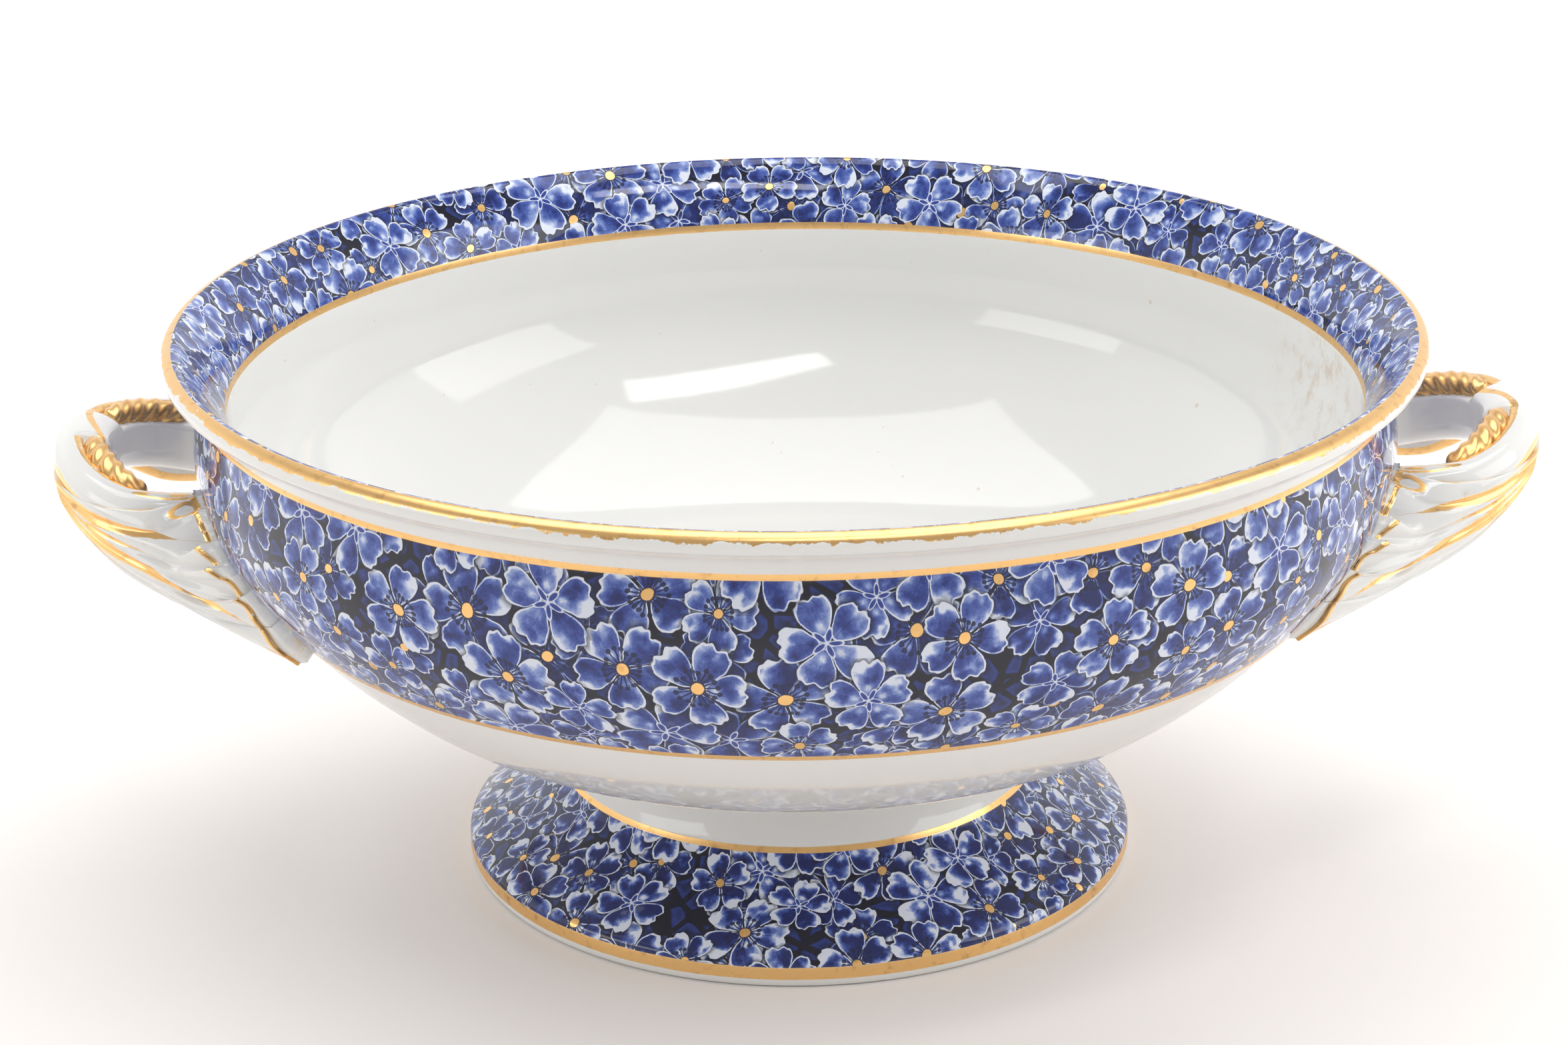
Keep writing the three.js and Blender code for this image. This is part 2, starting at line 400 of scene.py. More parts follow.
@dataclass(frozen=True)
class BlossomGroup:
    """Draws one five-petalled blossom from its own flat coordinates."""

    petals: int = 5
    stamens: int = 19
    gold_share: float = 0.62

    def build(self) -> Any:
        """Makes the node group.

        Returns:
            The group. Its inputs are the place in the blossom, the print's grain, a waver of the
            hand, the contrast and how far the blossom is faded. Its outputs are Colour, Cover,
            Shade and Gold.
        """
        tree = bpy.data.node_groups.new("Blossom", "ShaderNodeTree")
        face = tree.interface
        face.new_socket("Place", in_out="INPUT", socket_type="NodeSocketVector")
        for name in ("Grain", "Waver", "Contrast", "Fade"):
            face.new_socket(name, in_out="INPUT", socket_type="NodeSocketFloat")
        face.new_socket("Colour", in_out="OUTPUT", socket_type="NodeSocketColor")
        for name in ("Cover", "Shade", "Gold"):
            face.new_socket(name, in_out="OUTPUT", socket_type="NodeSocketFloat")
        board = Board(tree)
        start = board.node("NodeGroupInput").outputs
        grain, waver, contrast, fade = (
            Term(board, start[name]) for name in ("Grain", "Waver", "Contrast", "Fade"))
        end = board.node("NodeGroupOutput")
        x, y, seed = board.parts(start["Place"])
        x, y = x + waver * 0.10, y + grain * 0.03
        radius = (x * x + y * y).root()
        angle = board.math("ARCTAN2", y, x)
        petal, p, q, draw = self.petal_axes(angle, radius, seed, 0.0)
        edge = self.petal_edge(p, q, draw, waver)
        gold_type = seed.rise(self.gold_share + 0.001, self.gold_share)
        tone = self.petal_tone(board, p, q, edge, draw, seed, petal, grain)
        tone = (tone - 0.46) * contrast + 0.46 - (contrast - 1.0) * 0.22 - fade
        colour = board.tint(tone, (
            (0.0, PIGMENTS.deep_blue), (0.24, PIGMENTS.dark_blue), (0.48, PIGMENTS.mid_blue),
            (0.74, PIGMENTS.pale_blue), (1.0, PIGMENTS.petal_white)))
        colour = self.with_stamens(board, colour, angle, radius, seed, gold_type)
        colour, star = self.with_sepals(board, colour, angle, radius, gold_type)
        centre = (radius + waver * 0.05).rise(0.175, 0.145) * gold_type
        board.feed(end.inputs["Colour"], board.blend(centre, colour, PIGMENTS.stamen))
        board.feed(end.inputs["Cover"], edge.rise(1.015, 0.985).most(star).most(centre))
        board.feed(end.inputs["Shade"], (edge - 1.0).rise(-0.05, 0.36) * 0.8 + 0.2)
        board.feed(end.inputs["Gold"], (radius + waver * 0.08).rise(0.138, 0.118) * gold_type)
        return tree

    def petal_axes(
        self, angle: Term, radius: Term, seed: Term, shift: float
    ) -> tuple[Term, Term, Term, Term]:
        """Coordinates along and across the nearest petal.

        Args:
            angle: Angle round the blossom.
            radius: Distance from its centre.
            seed: Number that is the same all over one blossom.
            shift: Share of a petal's sector to turn by.

        Returns:
            Petal number, distance along it, distance across it, and the petal's own random number.
        """
        turn = angle * (self.petals / TAU) + shift
        number = (turn + 0.5).floor()
        own = (turn - number) * (TAU / self.petals)
        draw = ((number * 12.99 + seed * 78.23).sine() * 437.58).fraction()
        lean = own + (draw - 0.5) * 0.14
        return number, radius * lean.cosine(), radius * lean.sine(), draw

    def petal_edge(self, p: Term, q: Term, draw: Term, waver: Term) -> Term:
        """Distance from a petal's middle as a share of its outline, 1 on the outline.

        Args:
            p: Distance along the petal.
            q: Distance across the petal.
            draw: The petal's own random number.
            waver: Waver of the hand.

        Returns:
            The share.
        """
        half_width = p * 0.40 + 0.125
        length = draw * 0.07 + 0.415
        oval = (((p - 0.56) / length).squared() + (q / half_width).squared()).root()
        notch = (q + (draw - 0.5) * 0.10).bump_at(0.0, 0.065) * p.rise(0.66, 0.98) * 0.24
        teeth = (q * 38.0 + draw * 6.0).cosine() * p.rise(0.72, 0.95) * 0.03
        return oval + notch + teeth + waver * 0.16

    def petal_tone(
        self, board: Board, p: Term, q: Term, edge: Term, draw: Term, seed: Term, petal: Term, grain: Term
    ) -> Term:
        """Lightness of the print inside a petal, 0 deep blue to 1 white.

        Args:
            board: The board that takes the nodes.
            p: Distance along the petal.
            q: Distance across the petal.
            edge: Distance from the petal's middle as a share of its outline.
            draw: The petal's own random number.
            seed: Number that is the same all over one blossom.
            petal: Number of the petal.
            grain: The print's grain.

        Returns:
            The lightness.
        """
        cloud = board.noise(board.vector(q * 2.6, p * 2.6, seed * 70.0 + petal * 5.0), 1.0, 1.0)
        second = (draw * 37.3).fraction()
        side = q * ((draw * 2.0).floor() * 2.0 - 1.0) * 0.75
        outline = edge.rise(0.885, 0.93) * 0.62
        glow = edge.rise(0.50, 0.93) * 0.22
        patch = cloud.rise(0.46, 0.66) * (p + q * (draw - 0.5) * 1.6).rise(0.46, 0.86) * 0.60
        throat = p.bump_at(0.33, 0.13) * q.bump_at(0.0, 0.10) * second.rise(0.35, 0.65) * 0.65
        vein = q.bump_at(0.0, 0.012) * p.rise(0.90, 0.60) * 0.10
        foot = p.rise(0.46, 0.12) * 0.26
        dark = cloud.rise(0.48, 0.30) * 0.22
        body = second * 0.16 + 0.30
        return body + outline + glow + patch + throat + side - vein - foot - dark + grain * 0.42

    def with_stamens(
        self, board: Board, colour: Any, angle: Term, radius: Term, seed: Term, gold_type: Term
    ) -> Any:
        """Adds the ring of stamens that a gold-centred blossom has.

        Args:
            board: The board that takes the nodes.
            colour: Colour so far.
            angle: Angle round the blossom.
            radius: Distance from its centre.
            seed: Number that is the same all over one blossom.
            gold_type: 1 for a blossom with a gold centre.

        Returns:
            The colour with them.
        """
        turn = angle * (self.stamens / TAU)
        number = turn.floor()
        draw = ((number * 7.13 + seed * 31.7).sine() * 91.7).fraction()
        across = ((turn - number) - 0.5 + (draw - 0.5) * 0.3) * radius * (TAU / self.stamens)
        reach = draw * 0.13 + 0.33
        thread = across.size().rise(0.022, 0.012) * (radius - reach).rise(0.01, -0.01)
        head = (across.squared() + (radius - reach).squared()).root().rise(0.064, 0.050)
        return board.blend(thread.most(head) * gold_type * 0.95, colour, PIGMENTS.stamen)

    def with_sepals(
        self, board: Board, colour: Any, angle: Term, radius: Term, gold_type: Term
    ) -> tuple[Any, Term]:
        """Adds the small star that a blossom without gold has, and returns its cover.

        Args:
            board: The board that takes the nodes.
            colour: Colour so far.
            angle: Angle round the blossom.
            radius: Distance from its centre.
            gold_type: 1 for a blossom with a gold centre.

        Returns:
            The colour with it, and its cover.
        """
        _, p, q, _ = self.petal_axes(angle, radius, gold_type, 0.5)
        leaf = (((p - 0.175) / 0.175).squared() + (q / 0.066).squared()).root()
        star = leaf.rise(1.06, 0.96) * (1.0 - gold_type)
        inside = board.tint(leaf.rise(0.45, 0.90), (
            (0.0, PIGMENTS.dark_blue), (0.55, PIGMENTS.mid_blue), (1.0, PIGMENTS.petal_white)))
        return board.blend(star, colour, inside), star


@dataclass(frozen=True)
class GlazedPrint:
    """White glazed ware with the blossom print and gilt lines, all placed by the run of the profile."""

    name: str
    print_zones: tuple[tuple[float, float], ...]
    gilt_lines: tuple[tuple[float, float, float], ...]
    layers: int
    bare_zone: tuple[float, float] | None = None
    has_handles: bool = False
    inner_from: float | None = None
    contrast: float = 1.0

    def build(self, blossom: Any) -> Any:
        """Makes the material.

        Args:
            blossom: Node group that draws one blossom.

        Returns:
            The material.
        """
        material = bpy.data.materials.new(self.name)
        material.use_nodes = True
        board = Board(material.node_tree)
        shader = material.node_tree.nodes["Principled BSDF"]
        place = board.object_place()
        run = Term(board, board.attribute("run").outputs["Fac"])
        hand = board.noise(place, 90.0, 2.0) - 0.5
        printed, dots = self.printed_colour(board, place, blossom)
        zone = self.zone_mask(run + hand * 0.25, self.print_zones)
        colour = board.blend(board.noise(place, 14.0, 3.0), PIGMENTS.glaze_shade, PIGMENTS.glaze)
        if self.inner_from is not None:
            colour = self.with_stains(board, place, run, colour)
        if self.has_handles:
            zone, colour = self.with_smears(board, place, run, zone, colour)
        colour = board.blend(zone, colour, printed)
        gold = (dots * zone).most(self.gilding(board, place, run + hand * 0.22))
        gilt = board.blend(board.noise(place, 400.0, 3.0).rise(0.54, 0.84), PIGMENTS.gold, PIGMENTS.worn_gold)
        colour = board.blend(gold, colour, gilt)
        rough = gold * (board.noise(place, 260.0, 2.0) * 0.12 + 0.16) + 0.065
        if self.bare_zone is not None:
            bare = run.inside(self.bare_zone[0], self.bare_zone[1], 0.3)
            colour = board.blend(bare, colour, PIGMENTS.bare_clay)
            rough = rough + bare * 0.6
        board.feed(shader.inputs["Base Color"], colour)
        board.feed(shader.inputs["Metallic"], gold)
        board.feed(shader.inputs["Roughness"], rough)
        shader.inputs["IOR"].default_value = GLAZE_IOR
        self.add_waver(board, shader, place, gold)
        return material

    def zone_mask(self, run: Term, zones: Sequence[tuple[float, float]]) -> Term:
        """1 where the run lies in one of the zones.

        Args:
            run: Run of the profile.
            zones: Runs where each zone starts and ends.

        Returns:
            The mask.
        """
        mask: Any = 0.0
        for low, high in zones:
            mask = run.inside(low, high, 0.12) + mask
        return mask

    def printed_colour(self, board: Board, place: Any, blossom: Any) -> tuple[Any, Term]:
        """Lays the blossoms over each other on the dark ground.

        Args:
            board: The material's board.
            place: Object coordinates.
            blossom: Node group that draws one blossom.

        Returns:
            The print's colour, and where the gold centres are.
        """
        grain = board.noise(place, 1500.0, 2.0, 0.7) - 0.5
        waver = board.noise(place, 260.0, 1.0) - 0.5
        cells = board.node("ShaderNodeTexVoronoi", Vector=place, Scale=190.0)
        cells.feature = "DISTANCE_TO_EDGE"
        petal = Term(board, cells.outputs["Distance"]) + waver * 0.10
        filler = petal.rise(0.10, 0.16) * (petal.rise(0.42, 0.12) * 0.75 + 0.25)
        colour = board.blend(filler * (grain + 0.85), PIGMENTS.ground, PIGMENTS.dark_blue)
        gold: Any = 0.0
        for layer in reversed(range(self.layers)):
            group = board.node("ShaderNodeGroup")
            group.node_tree = blossom
            board.feed(group.inputs["Place"], board.attribute(f"blossom_{layer}").outputs["Vector"])
            fade = 0.0 if layer < 2 else 0.10 + 0.11 * (layer - 2)
            inputs = {"Grain": grain, "Waver": waver, "Contrast": self.contrast, "Fade": fade}
            for name, value in inputs.items():
                board.feed(group.inputs[name], value)
            cover = Term(board, group.outputs["Cover"])
            shade = Term(board, group.outputs["Shade"])
            dulled = board.blend(shade, PIGMENTS.ground, colour)
            colour = board.blend(cover, dulled, group.outputs["Colour"])
            gold = Term(board, group.outputs["Gold"]).most((1.0 - cover) * gold)
        return colour, gold

    def gilding(self, board: Board, place: Any, run: Term) -> Term:
        """Gilt lines. Each has its own wear, from 0 for sound gold to 1 for gold that is nearly gone.

        Args:
            board: The board that takes the nodes.
            place: Object coordinates.
            run: Run of the profile.

        Returns:
            Mask of the gold.
        """
        mask: Any = 0.0
        flakes = board.noise(place, 330.0, 4.0, 0.65)
        patches = board.noise(place, 38.0, 3.0, 0.55)
        for low, high, wear in self.gilt_lines:
            line = run.inside(low, high, 0.10)
            if wear > 0.0:
                x, _, _ = board.parts(place)
                rub = (run - low).rise(0.55 * (high - low), 0.0)
                loss = (rub * 0.62 + patches.rise(0.42, 0.62) * 0.20) * wear
                loss = loss + x.rise(-0.06, -0.14) * wear * 0.20
                line = line * (flakes + 0.40 - loss).rise(0.40, 0.44)
            else:
                line = line * flakes.rise(0.27, 0.31)
            mask = line.most(mask)
        return mask

    def with_stains(self, board: Board, place: Any, run: Term, colour: Any) -> Any:
        """Adds the faint brown specks and the tea-coloured stain on the inside.

        Args:
            board: The board that takes the nodes.
            place: Object coordinates.
            run: Run of the profile.
            colour: Colour so far.

        Returns:
            The colour with them.
        """
        inner = run.rise(self.inner_from, self.inner_from + 1.0)
        x, y, z = board.parts(place)
        near = ((x - 0.122).squared() + (y - 0.022).squared() * 0.35 + (z - 0.105).squared() * 0.6).root()
        cloud = near.rise(0.024, 0.003) * board.noise(place, 190.0, 5.0, 0.7).rise(0.46, 0.72)
        speck = board.noise(place, 420.0, 0.0).rise(0.87, 0.89)
        colour = board.blend(cloud * inner * 0.55, colour, PIGMENTS.stain)
        return board.blend(speck * inner * 0.35, colour, PIGMENTS.stain)

    def with_smears(
        self, board: Board, place: Any, run: Term, zone: Term, colour: Any
    ) -> tuple[Term, Any]:
        """Fades the print round the handle roots, where glaze and slip have run over it.

        Args:
            board: The board that takes the nodes.
            place: Object coordinates.
            run: Run of the profile.
            zone: Mask of the printed zones.
            colour: Colour so far.

        Returns:
            The mask that is left of the print, and the colour.
        """
        x, y, z = board.parts(place)
        width, depth = x.size() / MM, y.size() / MM
        height = z / MM + x.rise(0.0, -0.01) * 3.4
        start, end = Vector((129.0, 33.0, 98.0)), Vector((107.0, 60.0, 72.0))
        line = end - start
        share = ((width - start.x) * line.x + (depth - start.y) * line.y + (height - start.z) * line.z)
        share = (share / line.length_squared).most(0.0).least(1.0)
        gap = [axis - (share * line[i] + start[i]) for i, axis in enumerate((width, depth, height))]
        distance = (gap[0].squared() + gap[1].squared() + gap[2].squared()).root()
        ragged = board.noise(place, 140.0, 3.0, 0.6) * 7.0
        outside = run.rise(self.print_zones[0][1] + 1.0, self.print_zones[0][1])
        smear = (distance + ragged).rise(11.5, 6.5) * outside
        tint = board.blend(board.noise(place, 170.0, 3.0), PIGMENTS.smear, PIGMENTS.glaze)
        return zone * (1.0 - smear * 0.9), board.blend(smear, colour, tint)

    def add_waver(self, board: Board, shader: Any, place: Any, gold: Term) -> None:
        """Gives the glaze its slight unevenness and the gold a little body.

        Args:
            board: The board that takes the nodes.
            shader: Shader that takes the unevenness.
            place: Object coordinates.
            gold: Mask of the gold.
        """
        height = board.noise(place, 55.0, 2.0) * 0.10 + board.noise(place, 420.0, 2.0) * 0.012
        bump = board.node("ShaderNodeBump", Strength=1.0, Distance=0.00045, Height=height + gold * 0.03)
        board.feed(shader.inputs["Normal"], bump.outputs["Normal"])


def glazed_material(name: str, dress: Callable[[Board], Term] | None) -> Any:
    """White glazed porcelain with gilding.

    Args:
        name: Name of the material.
        dress: Works out where the gold lies, or None for plain white.

    Returns:
        The material.
    """
    material = bpy.data.materials.new(name)
    material.use_nodes = True
    board = Board(material.node_tree)
    shader = material.node_tree.nodes["Principled BSDF"]
    place = board.object_place()
    gold: Any = dress(board) if dress else 0.0
    colour = board.blend(board.noise(place, 20.0, 3.0), PIGMENTS.glaze_shade, PIGMENTS.glaze)
    gilt = board.blend(board.noise(place, 300.0, 3.0).rise(0.50, 0.80), PIGMENTS.gold, PIGMENTS.worn_gold)
    board.feed(shader.inputs["Base Color"], board.blend(gold, colour, gilt))
    board.feed(shader.inputs["Metallic"], gold)
    if dress:
        board.feed(shader.inputs["Roughness"], gold * 0.16 + 0.075)
    else:
        shader.inputs["Roughness"].default_value = 0.09
    shader.inputs["IOR"].default_value = GLAZE_IOR
    height = board.noise(place, 80.0, 2.0) * 0.12 + board.noise(place, 500.0, 2.0) * 0.02
    bump = board.node("ShaderNodeBump", Strength=1.0, Distance=0.0004, Height=height)
    board.feed(shader.inputs["Normal"], bump.outputs["Normal"])
    return material


def gilt_material() -> Any:
    """Burnished gold, darker and duller in its hollows.

    Returns:
        The material.
    """
    material = bpy.data.materials.new("BurnishedGold")
    material.use_nodes = True
    board = Board(material.node_tree)
    shader = material.node_tree.nodes["Principled BSDF"]
    place = board.object_place()
    wear = board.noise(place, 240.0, 3.0, 0.5)
    gilt = board.blend(wear.rise(0.45, 0.8), PIGMENTS.gold, PIGMENTS.worn_gold)
    board.feed(shader.inputs["Base Color"], gilt)
    shader.inputs["Metallic"].default_value = 1.0
    board.feed(shader.inputs["Roughness"], wear * 0.16 + 0.22)
    bump = board.node("ShaderNodeBump", Strength=1.0, Distance=0.0001, Height=wear)
    board.feed(shader.inputs["Normal"], bump.outputs["Normal"])
    return material


def slip_material() -> Any:
    """Fired luting slip under thin glaze.

    Returns:
        The material.
    """
    material = bpy.data.materials.new("FiredSlip")
    material.use_nodes = True
    board = Board(material.node_tree)
    shader = material.node_tree.nodes["Principled BSDF"]
    place = board.object_place()
    grain = board.noise(place, 350.0, 4.0, 0.6)
    board.feed(shader.inputs["Base Color"], board.blend(grain, PIGMENTS.smear, PIGMENTS.glaze))
    board.feed(shader.inputs["Roughness"], grain * 0.2 + 0.12)
    bump = board.node("ShaderNodeBump", Strength=1.0, Distance=0.0004, Height=grain)
    board.feed(shader.inputs["Normal"], bump.outputs["Normal"])
    return material


# ------------------------------------------------------------------------------ geometry node trees
class NodeModel:
    """A Geometry Nodes tree with named inputs, run once on a guide mesh."""

    def __init__(self, name: str, inputs: Sequence[tuple[str, str]]) -> None:
        """Makes the tree.

        Args:
            name: Name of the tree.
            inputs: Name and socket type of each input after the geometry.
        """
        self.tree = bpy.data.node_groups.new(name, "GeometryNodeTree")
        face = self.tree.interface
        face.new_socket("Geometry", in_out="INPUT", socket_type="NodeSocketGeometry")
        self.ids = {
            title: face.new_socket(title, in_out="INPUT", socket_type=kind).identifier
            for title, kind in inputs}
        face.new_socket("Geometry", in_out="OUTPUT", socket_type="NodeSocketGeometry")
        self.start = self.tree.nodes.new("NodeGroupInput")
        self.end = self.tree.nodes.new("NodeGroupOutput")

    def node(self, kind: str, settings: dict[str, Any] | None = None, **inputs: Any) -> Any:
        """Adds a node with settings on itself and values or sockets on its inputs.

        Args:
            kind: Type of the node.
            settings: Settings on the node itself.
            inputs: Values or sockets, by input name.

        Returns:
            The node.
        """
        made = self.tree.nodes.new(kind)
        for name, value in (settings or {}).items():
            setattr(made, name, value)
        for name, value in inputs.items():
            self.feed(made.inputs[name.replace("_", " ")], value)
        return made

    def feed(self, socket: Any, value: Any) -> None:
        """Links or sets one input socket.

        Args:
            socket: The input socket.
            value: A term, a socket or a plain value.
        """
        if isinstance(value, bpy.types.NodeSocket):
            self.tree.links.new(value, socket)
        else:
            socket.default_value = value

    def math(self, operation: str, *values: Any) -> Any:
        """Adds a Math node and returns its output.

        Args:
            operation: Its operation.
            values: Its values.

        Returns:
            Its output.
        """
        made = self.node("ShaderNodeMath", {"operation": operation})
        for i, value in enumerate(values):
            self.feed(made.inputs[i], value)
        return made.outputs[0]

    def finish(self, geometry: Any) -> None:
        """Ends the tree: smooth shading, instances made real, and the material.

        Args:
            geometry: Geometry to end with.
        """
        smooth = self.node("GeometryNodeSetShadeSmooth", Geometry=geometry)
        real = self.node("GeometryNodeRealizeInstances", Geometry=smooth.outputs[0])
        dressed = self.node(
            "GeometryNodeSetMaterial", Geometry=real.outputs[0], Material=self.start.outputs["Finish"])
        self.feed(self.end.inputs[0], dressed.outputs[0])

    def run(self, name: str, guide: Any, **values: Any) -> Any:
        """Runs the tree on a guide mesh.

        Args:
            name: Name of the piece.
            guide: Mesh that the tree starts from.
            values: Input values by name, with _ for a space.

        Returns:
            The piece, with a plain mesh.
        """
        piece = bpy.data.objects.new(name, guide)
        bpy.context.scene.collection.objects.link(piece)
        modifier = piece.modifiers.new("Build", "NODES")
        modifier.node_group = self.tree
        for title, value in values.items():
            modifier[self.ids[title.replace("_", " ")]] = value
        graph = bpy.context.evaluated_depsgraph_get()
        made = bpy.data.meshes.new_from_object(piece.evaluated_get(graph))
        made.name = name
        piece.modifiers.remove(modifier)
        piece.data = made
        return piece


def turning_model() -> NodeModel:
    """Tree that turns a profile about the bowl's axis.

    Returns:
        The tree. Its guide is a row of points (radius, 0, height) with a "run" attribute.
    """
    model = NodeModel("TurnedBody", (
        ("Columns", "NodeSocketInt"), ("Rows", "NodeSocketInt"), ("Finish", "NodeSocketMaterial")))
    start = model.start.outputs
    grid = model.node(
        "GeometryNodeMeshGrid", Size_X=1.0, Size_Y=1.0,
        Vertices_X=model.math("ADD", start["Columns"], 1.0), Vertices_Y=start["Rows"])
    spot = model.node("GeometryNodeInputPosition").outputs[0]
    axes = model.node("ShaderNodeSeparateXYZ", Vector=spot).outputs
    angle = model.math("MULTIPLY", model.math("ADD", axes["X"], 0.5), TAU)
    steps = model.math("SUBTRACT", start["Rows"], 1.0)
    row = model.math("ROUND", model.math("MULTIPLY", model.math("ADD", axes["Y"], 0.5), steps))
    spot = model.node(
        "GeometryNodeSampleIndex", {"data_type": "FLOAT_VECTOR"}, Geometry=start["Geometry"],
        Value=model.node("GeometryNodeInputPosition").outputs[0], Index=row)
    run_in = model.node("GeometryNodeInputNamedAttribute", {"data_type": "FLOAT"}, Name="run")
    run = model.node(
        "GeometryNodeSampleIndex", {"data_type": "FLOAT"}, Geometry=start["Geometry"],
        Value=run_in.outputs[0], Index=row)
    profile = model.node("ShaderNodeSeparateXYZ", Vector=spot.outputs[0]).outputs
    place = model.node(
        "ShaderNodeCombineXYZ",
        X=model.math("MULTIPLY", profile["X"], model.math("COSINE", angle)),
        Y=model.math("MULTIPLY", profile["X"], model.math("SINE", angle)), Z=profile["Z"])
    stored = model.node(
        "GeometryNodeStoreNamedAttribute", {"data_type": "FLOAT", "domain": "POINT"},
        Geometry=grid.outputs["Mesh"], Name="run", Value=run.outputs[0])
    placed = model.node("GeometryNodeSetPosition", Geometry=stored.outputs[0], Position=place.outputs[0])
    closed = model.node("GeometryNodeMergeByDistance", Geometry=placed.outputs[0], Distance=1e-6)
    model.finish(closed.outputs[0])
    return model


def rope_model() -> NodeModel:
    """Tree that lays a twisted rope along a guide line.

    Returns:
        The tree. Its guide is a row of joined points.
    """
    model = NodeModel("RopeTwist", (
        ("Radius", "NodeSocketFloat"), ("Turns", "NodeSocketFloat"), ("Strands", "NodeSocketInt"),
        ("Groove", "NodeSocketFloat"), ("Finish", "NodeSocketMaterial")))
    start = model.start.outputs
    line = model.node("GeometryNodeMeshToCurve", Mesh=start["Geometry"])
    even = model.node("GeometryNodeResampleCurve", Curve=line.outputs[0], Count=110)
    upright = model.node("GeometryNodeSetCurveNormal", Curve=even.outputs[0])
    upright.mode = "Z_UP"
    share = model.node("GeometryNodeSplineParameter").outputs["Factor"]
    tilt = model.math("MULTIPLY", share, model.math("MULTIPLY", start["Turns"], TAU))
    twisted = model.node("GeometryNodeSetCurveTilt", Curve=upright.outputs[0], Tilt=tilt)
    hump = model.math("SINE", model.math("MULTIPLY", share, math.pi))
    taper = model.math("POWER", model.math("MAXIMUM", hump, 0.0005), 0.22)
    tapered = model.node("GeometryNodeSetCurveRadius", Curve=twisted.outputs[0], Radius=taper)
    ring = model.node("GeometryNodeCurvePrimitiveCircle", Resolution=30, Radius=start["Radius"])
    spot = model.node("GeometryNodeInputPosition").outputs[0]
    axes = model.node("ShaderNodeSeparateXYZ", Vector=spot).outputs
    bearing = model.math("ARCTAN2", axes["Y"], axes["X"])
    lobes = model.math("COSINE", model.math("MULTIPLY", bearing, start["Strands"]))
    swell = model.math("ADD", model.math("MULTIPLY", lobes, start["Groove"]), 1.0)
    scaled = model.node("ShaderNodeVectorMath", {"operation": "SCALE"}, Vector=spot, Scale=swell)
    lobed = model.node("GeometryNodeSetPosition", Geometry=ring.outputs[0], Position=scaled.outputs[0])
    swept = model.node("GeometryNodeCurveToMesh", Curve=tapered.outputs[0], Profile_Curve=lobed.outputs[0])
    swept.inputs["Fill Caps"].default_value = True
    if "Scale" in swept.inputs:
        radius = model.node("GeometryNodeInputRadius")
        model.feed(swept.inputs["Scale"], radius.outputs[0])
    model.finish(swept.outputs[0])
    return model


# ------------------------------------------------------------------------------ mesh helpers
def line_mesh(name: str, points: np.ndarray, joined: bool) -> Any:
    """Guide mesh of points in millimetres, joined by edges or loose.

    Args:
        name: Name of it.
        points: Points in millimetres.
        joined: Whether edges join the points.

    Returns:
        The mesh.
    """
    mesh = bpy.data.meshes.new(name)
    edges = [(i, i + 1) for i in range(len(points) - 1)] if joined else []
    mesh.from_pydata((points * MM).tolist(), edges, [])
    return mesh


def add_corner_vectors(mesh: Any, name: str, vectors: np.ndarray) -> None:
    """Stores one vector for each face corner."""
    layer = mesh.attributes.new(name, "FLOAT_VECTOR", "CORNER")
    layer.data.foreach_set("vector", np.ascontiguousarray(vectors, np.float32).ravel())


def face_outwards(mesh: Any) -> None:
    """Turns a closed mesh so that its faces point out.

    Args:
        mesh: The mesh.
    """
    count = len(mesh.loop_triangles)
    if not count:
        mesh.calc_loop_triangles()
        count = len(mesh.loop_triangles)
    corners = np.empty(count * 3, np.int32)
    mesh.loop_triangles.foreach_get("vertices", corners)
    spots = np.empty(len(mesh.vertices) * 3, np.float32)
    mesh.vertices.foreach_get("co", spots)
    tri = spots.reshape(-1, 3)[corners.reshape(-1, 3)].astype(float)
    volume = np.einsum("ij,ij->i", tri[:, 0], np.cross(tri[:, 1], tri[:, 2])).sum()
    if volume < 0.0:
        mesh.flip_normals()


def loft_mesh(name: str, rings: np.ndarray, facts: np.ndarray, fact_name: str) -> Any:
    """Closed mesh through rings of points, with one fact vector for each point.

    Args:
        name: Name of the mesh.
        rings: Points in millimetres, ring by ring.
        facts: Fact vectors, in the same order.
        fact_name: Name of the attribute that holds them.

    Returns:
        The mesh.
    """
    rows, count, _ = rings.shape
    verts = np.vstack([rings.reshape(-1, 3), rings[0].mean(0), rings[-1].mean(0)]) * MM
    faces = []
    for i in range(rows - 1):
        for j in range(count):
            k = (j + 1) % count
            faces.append((i * count + j, i * count + k, (i + 1) * count + k, (i + 1) * count + j))
    first, last, top = rows * count, rows * count + 1, (rows - 1) * count
    faces += [(first, (j + 1) % count, j) for j in range(count)]
    faces += [(last, top + j, top + (j + 1) % count) for j in range(count)]
    mesh = bpy.data.meshes.new(name)
    mesh.from_pydata(verts.tolist(), [], faces)
    layer = mesh.attributes.new(fact_name, "FLOAT_VECTOR", "POINT")
    values = np.vstack([facts.reshape(-1, 3), facts[0].mean(0), facts[-1].mean(0)])
    layer.data.foreach_set("vector", np.ascontiguousarray(values, np.float32).ravel())
    mesh.polygons.foreach_set("use_smooth", [True] * len(mesh.polygons))
    face_outwards(mesh)
    return mesh


def as_piece(mesh: Any, material: Any) -> Any:
    """Object at the origin that shows a mesh in one material.

    Args:
        mesh: The mesh.
        material: Its finish.

    Returns:
        The object.
    """
    piece = bpy.data.objects.new(mesh.name, mesh)
    bpy.context.scene.collection.objects.link(piece)
    mesh.materials.clear()
    mesh.materials.append(material)
    return piece


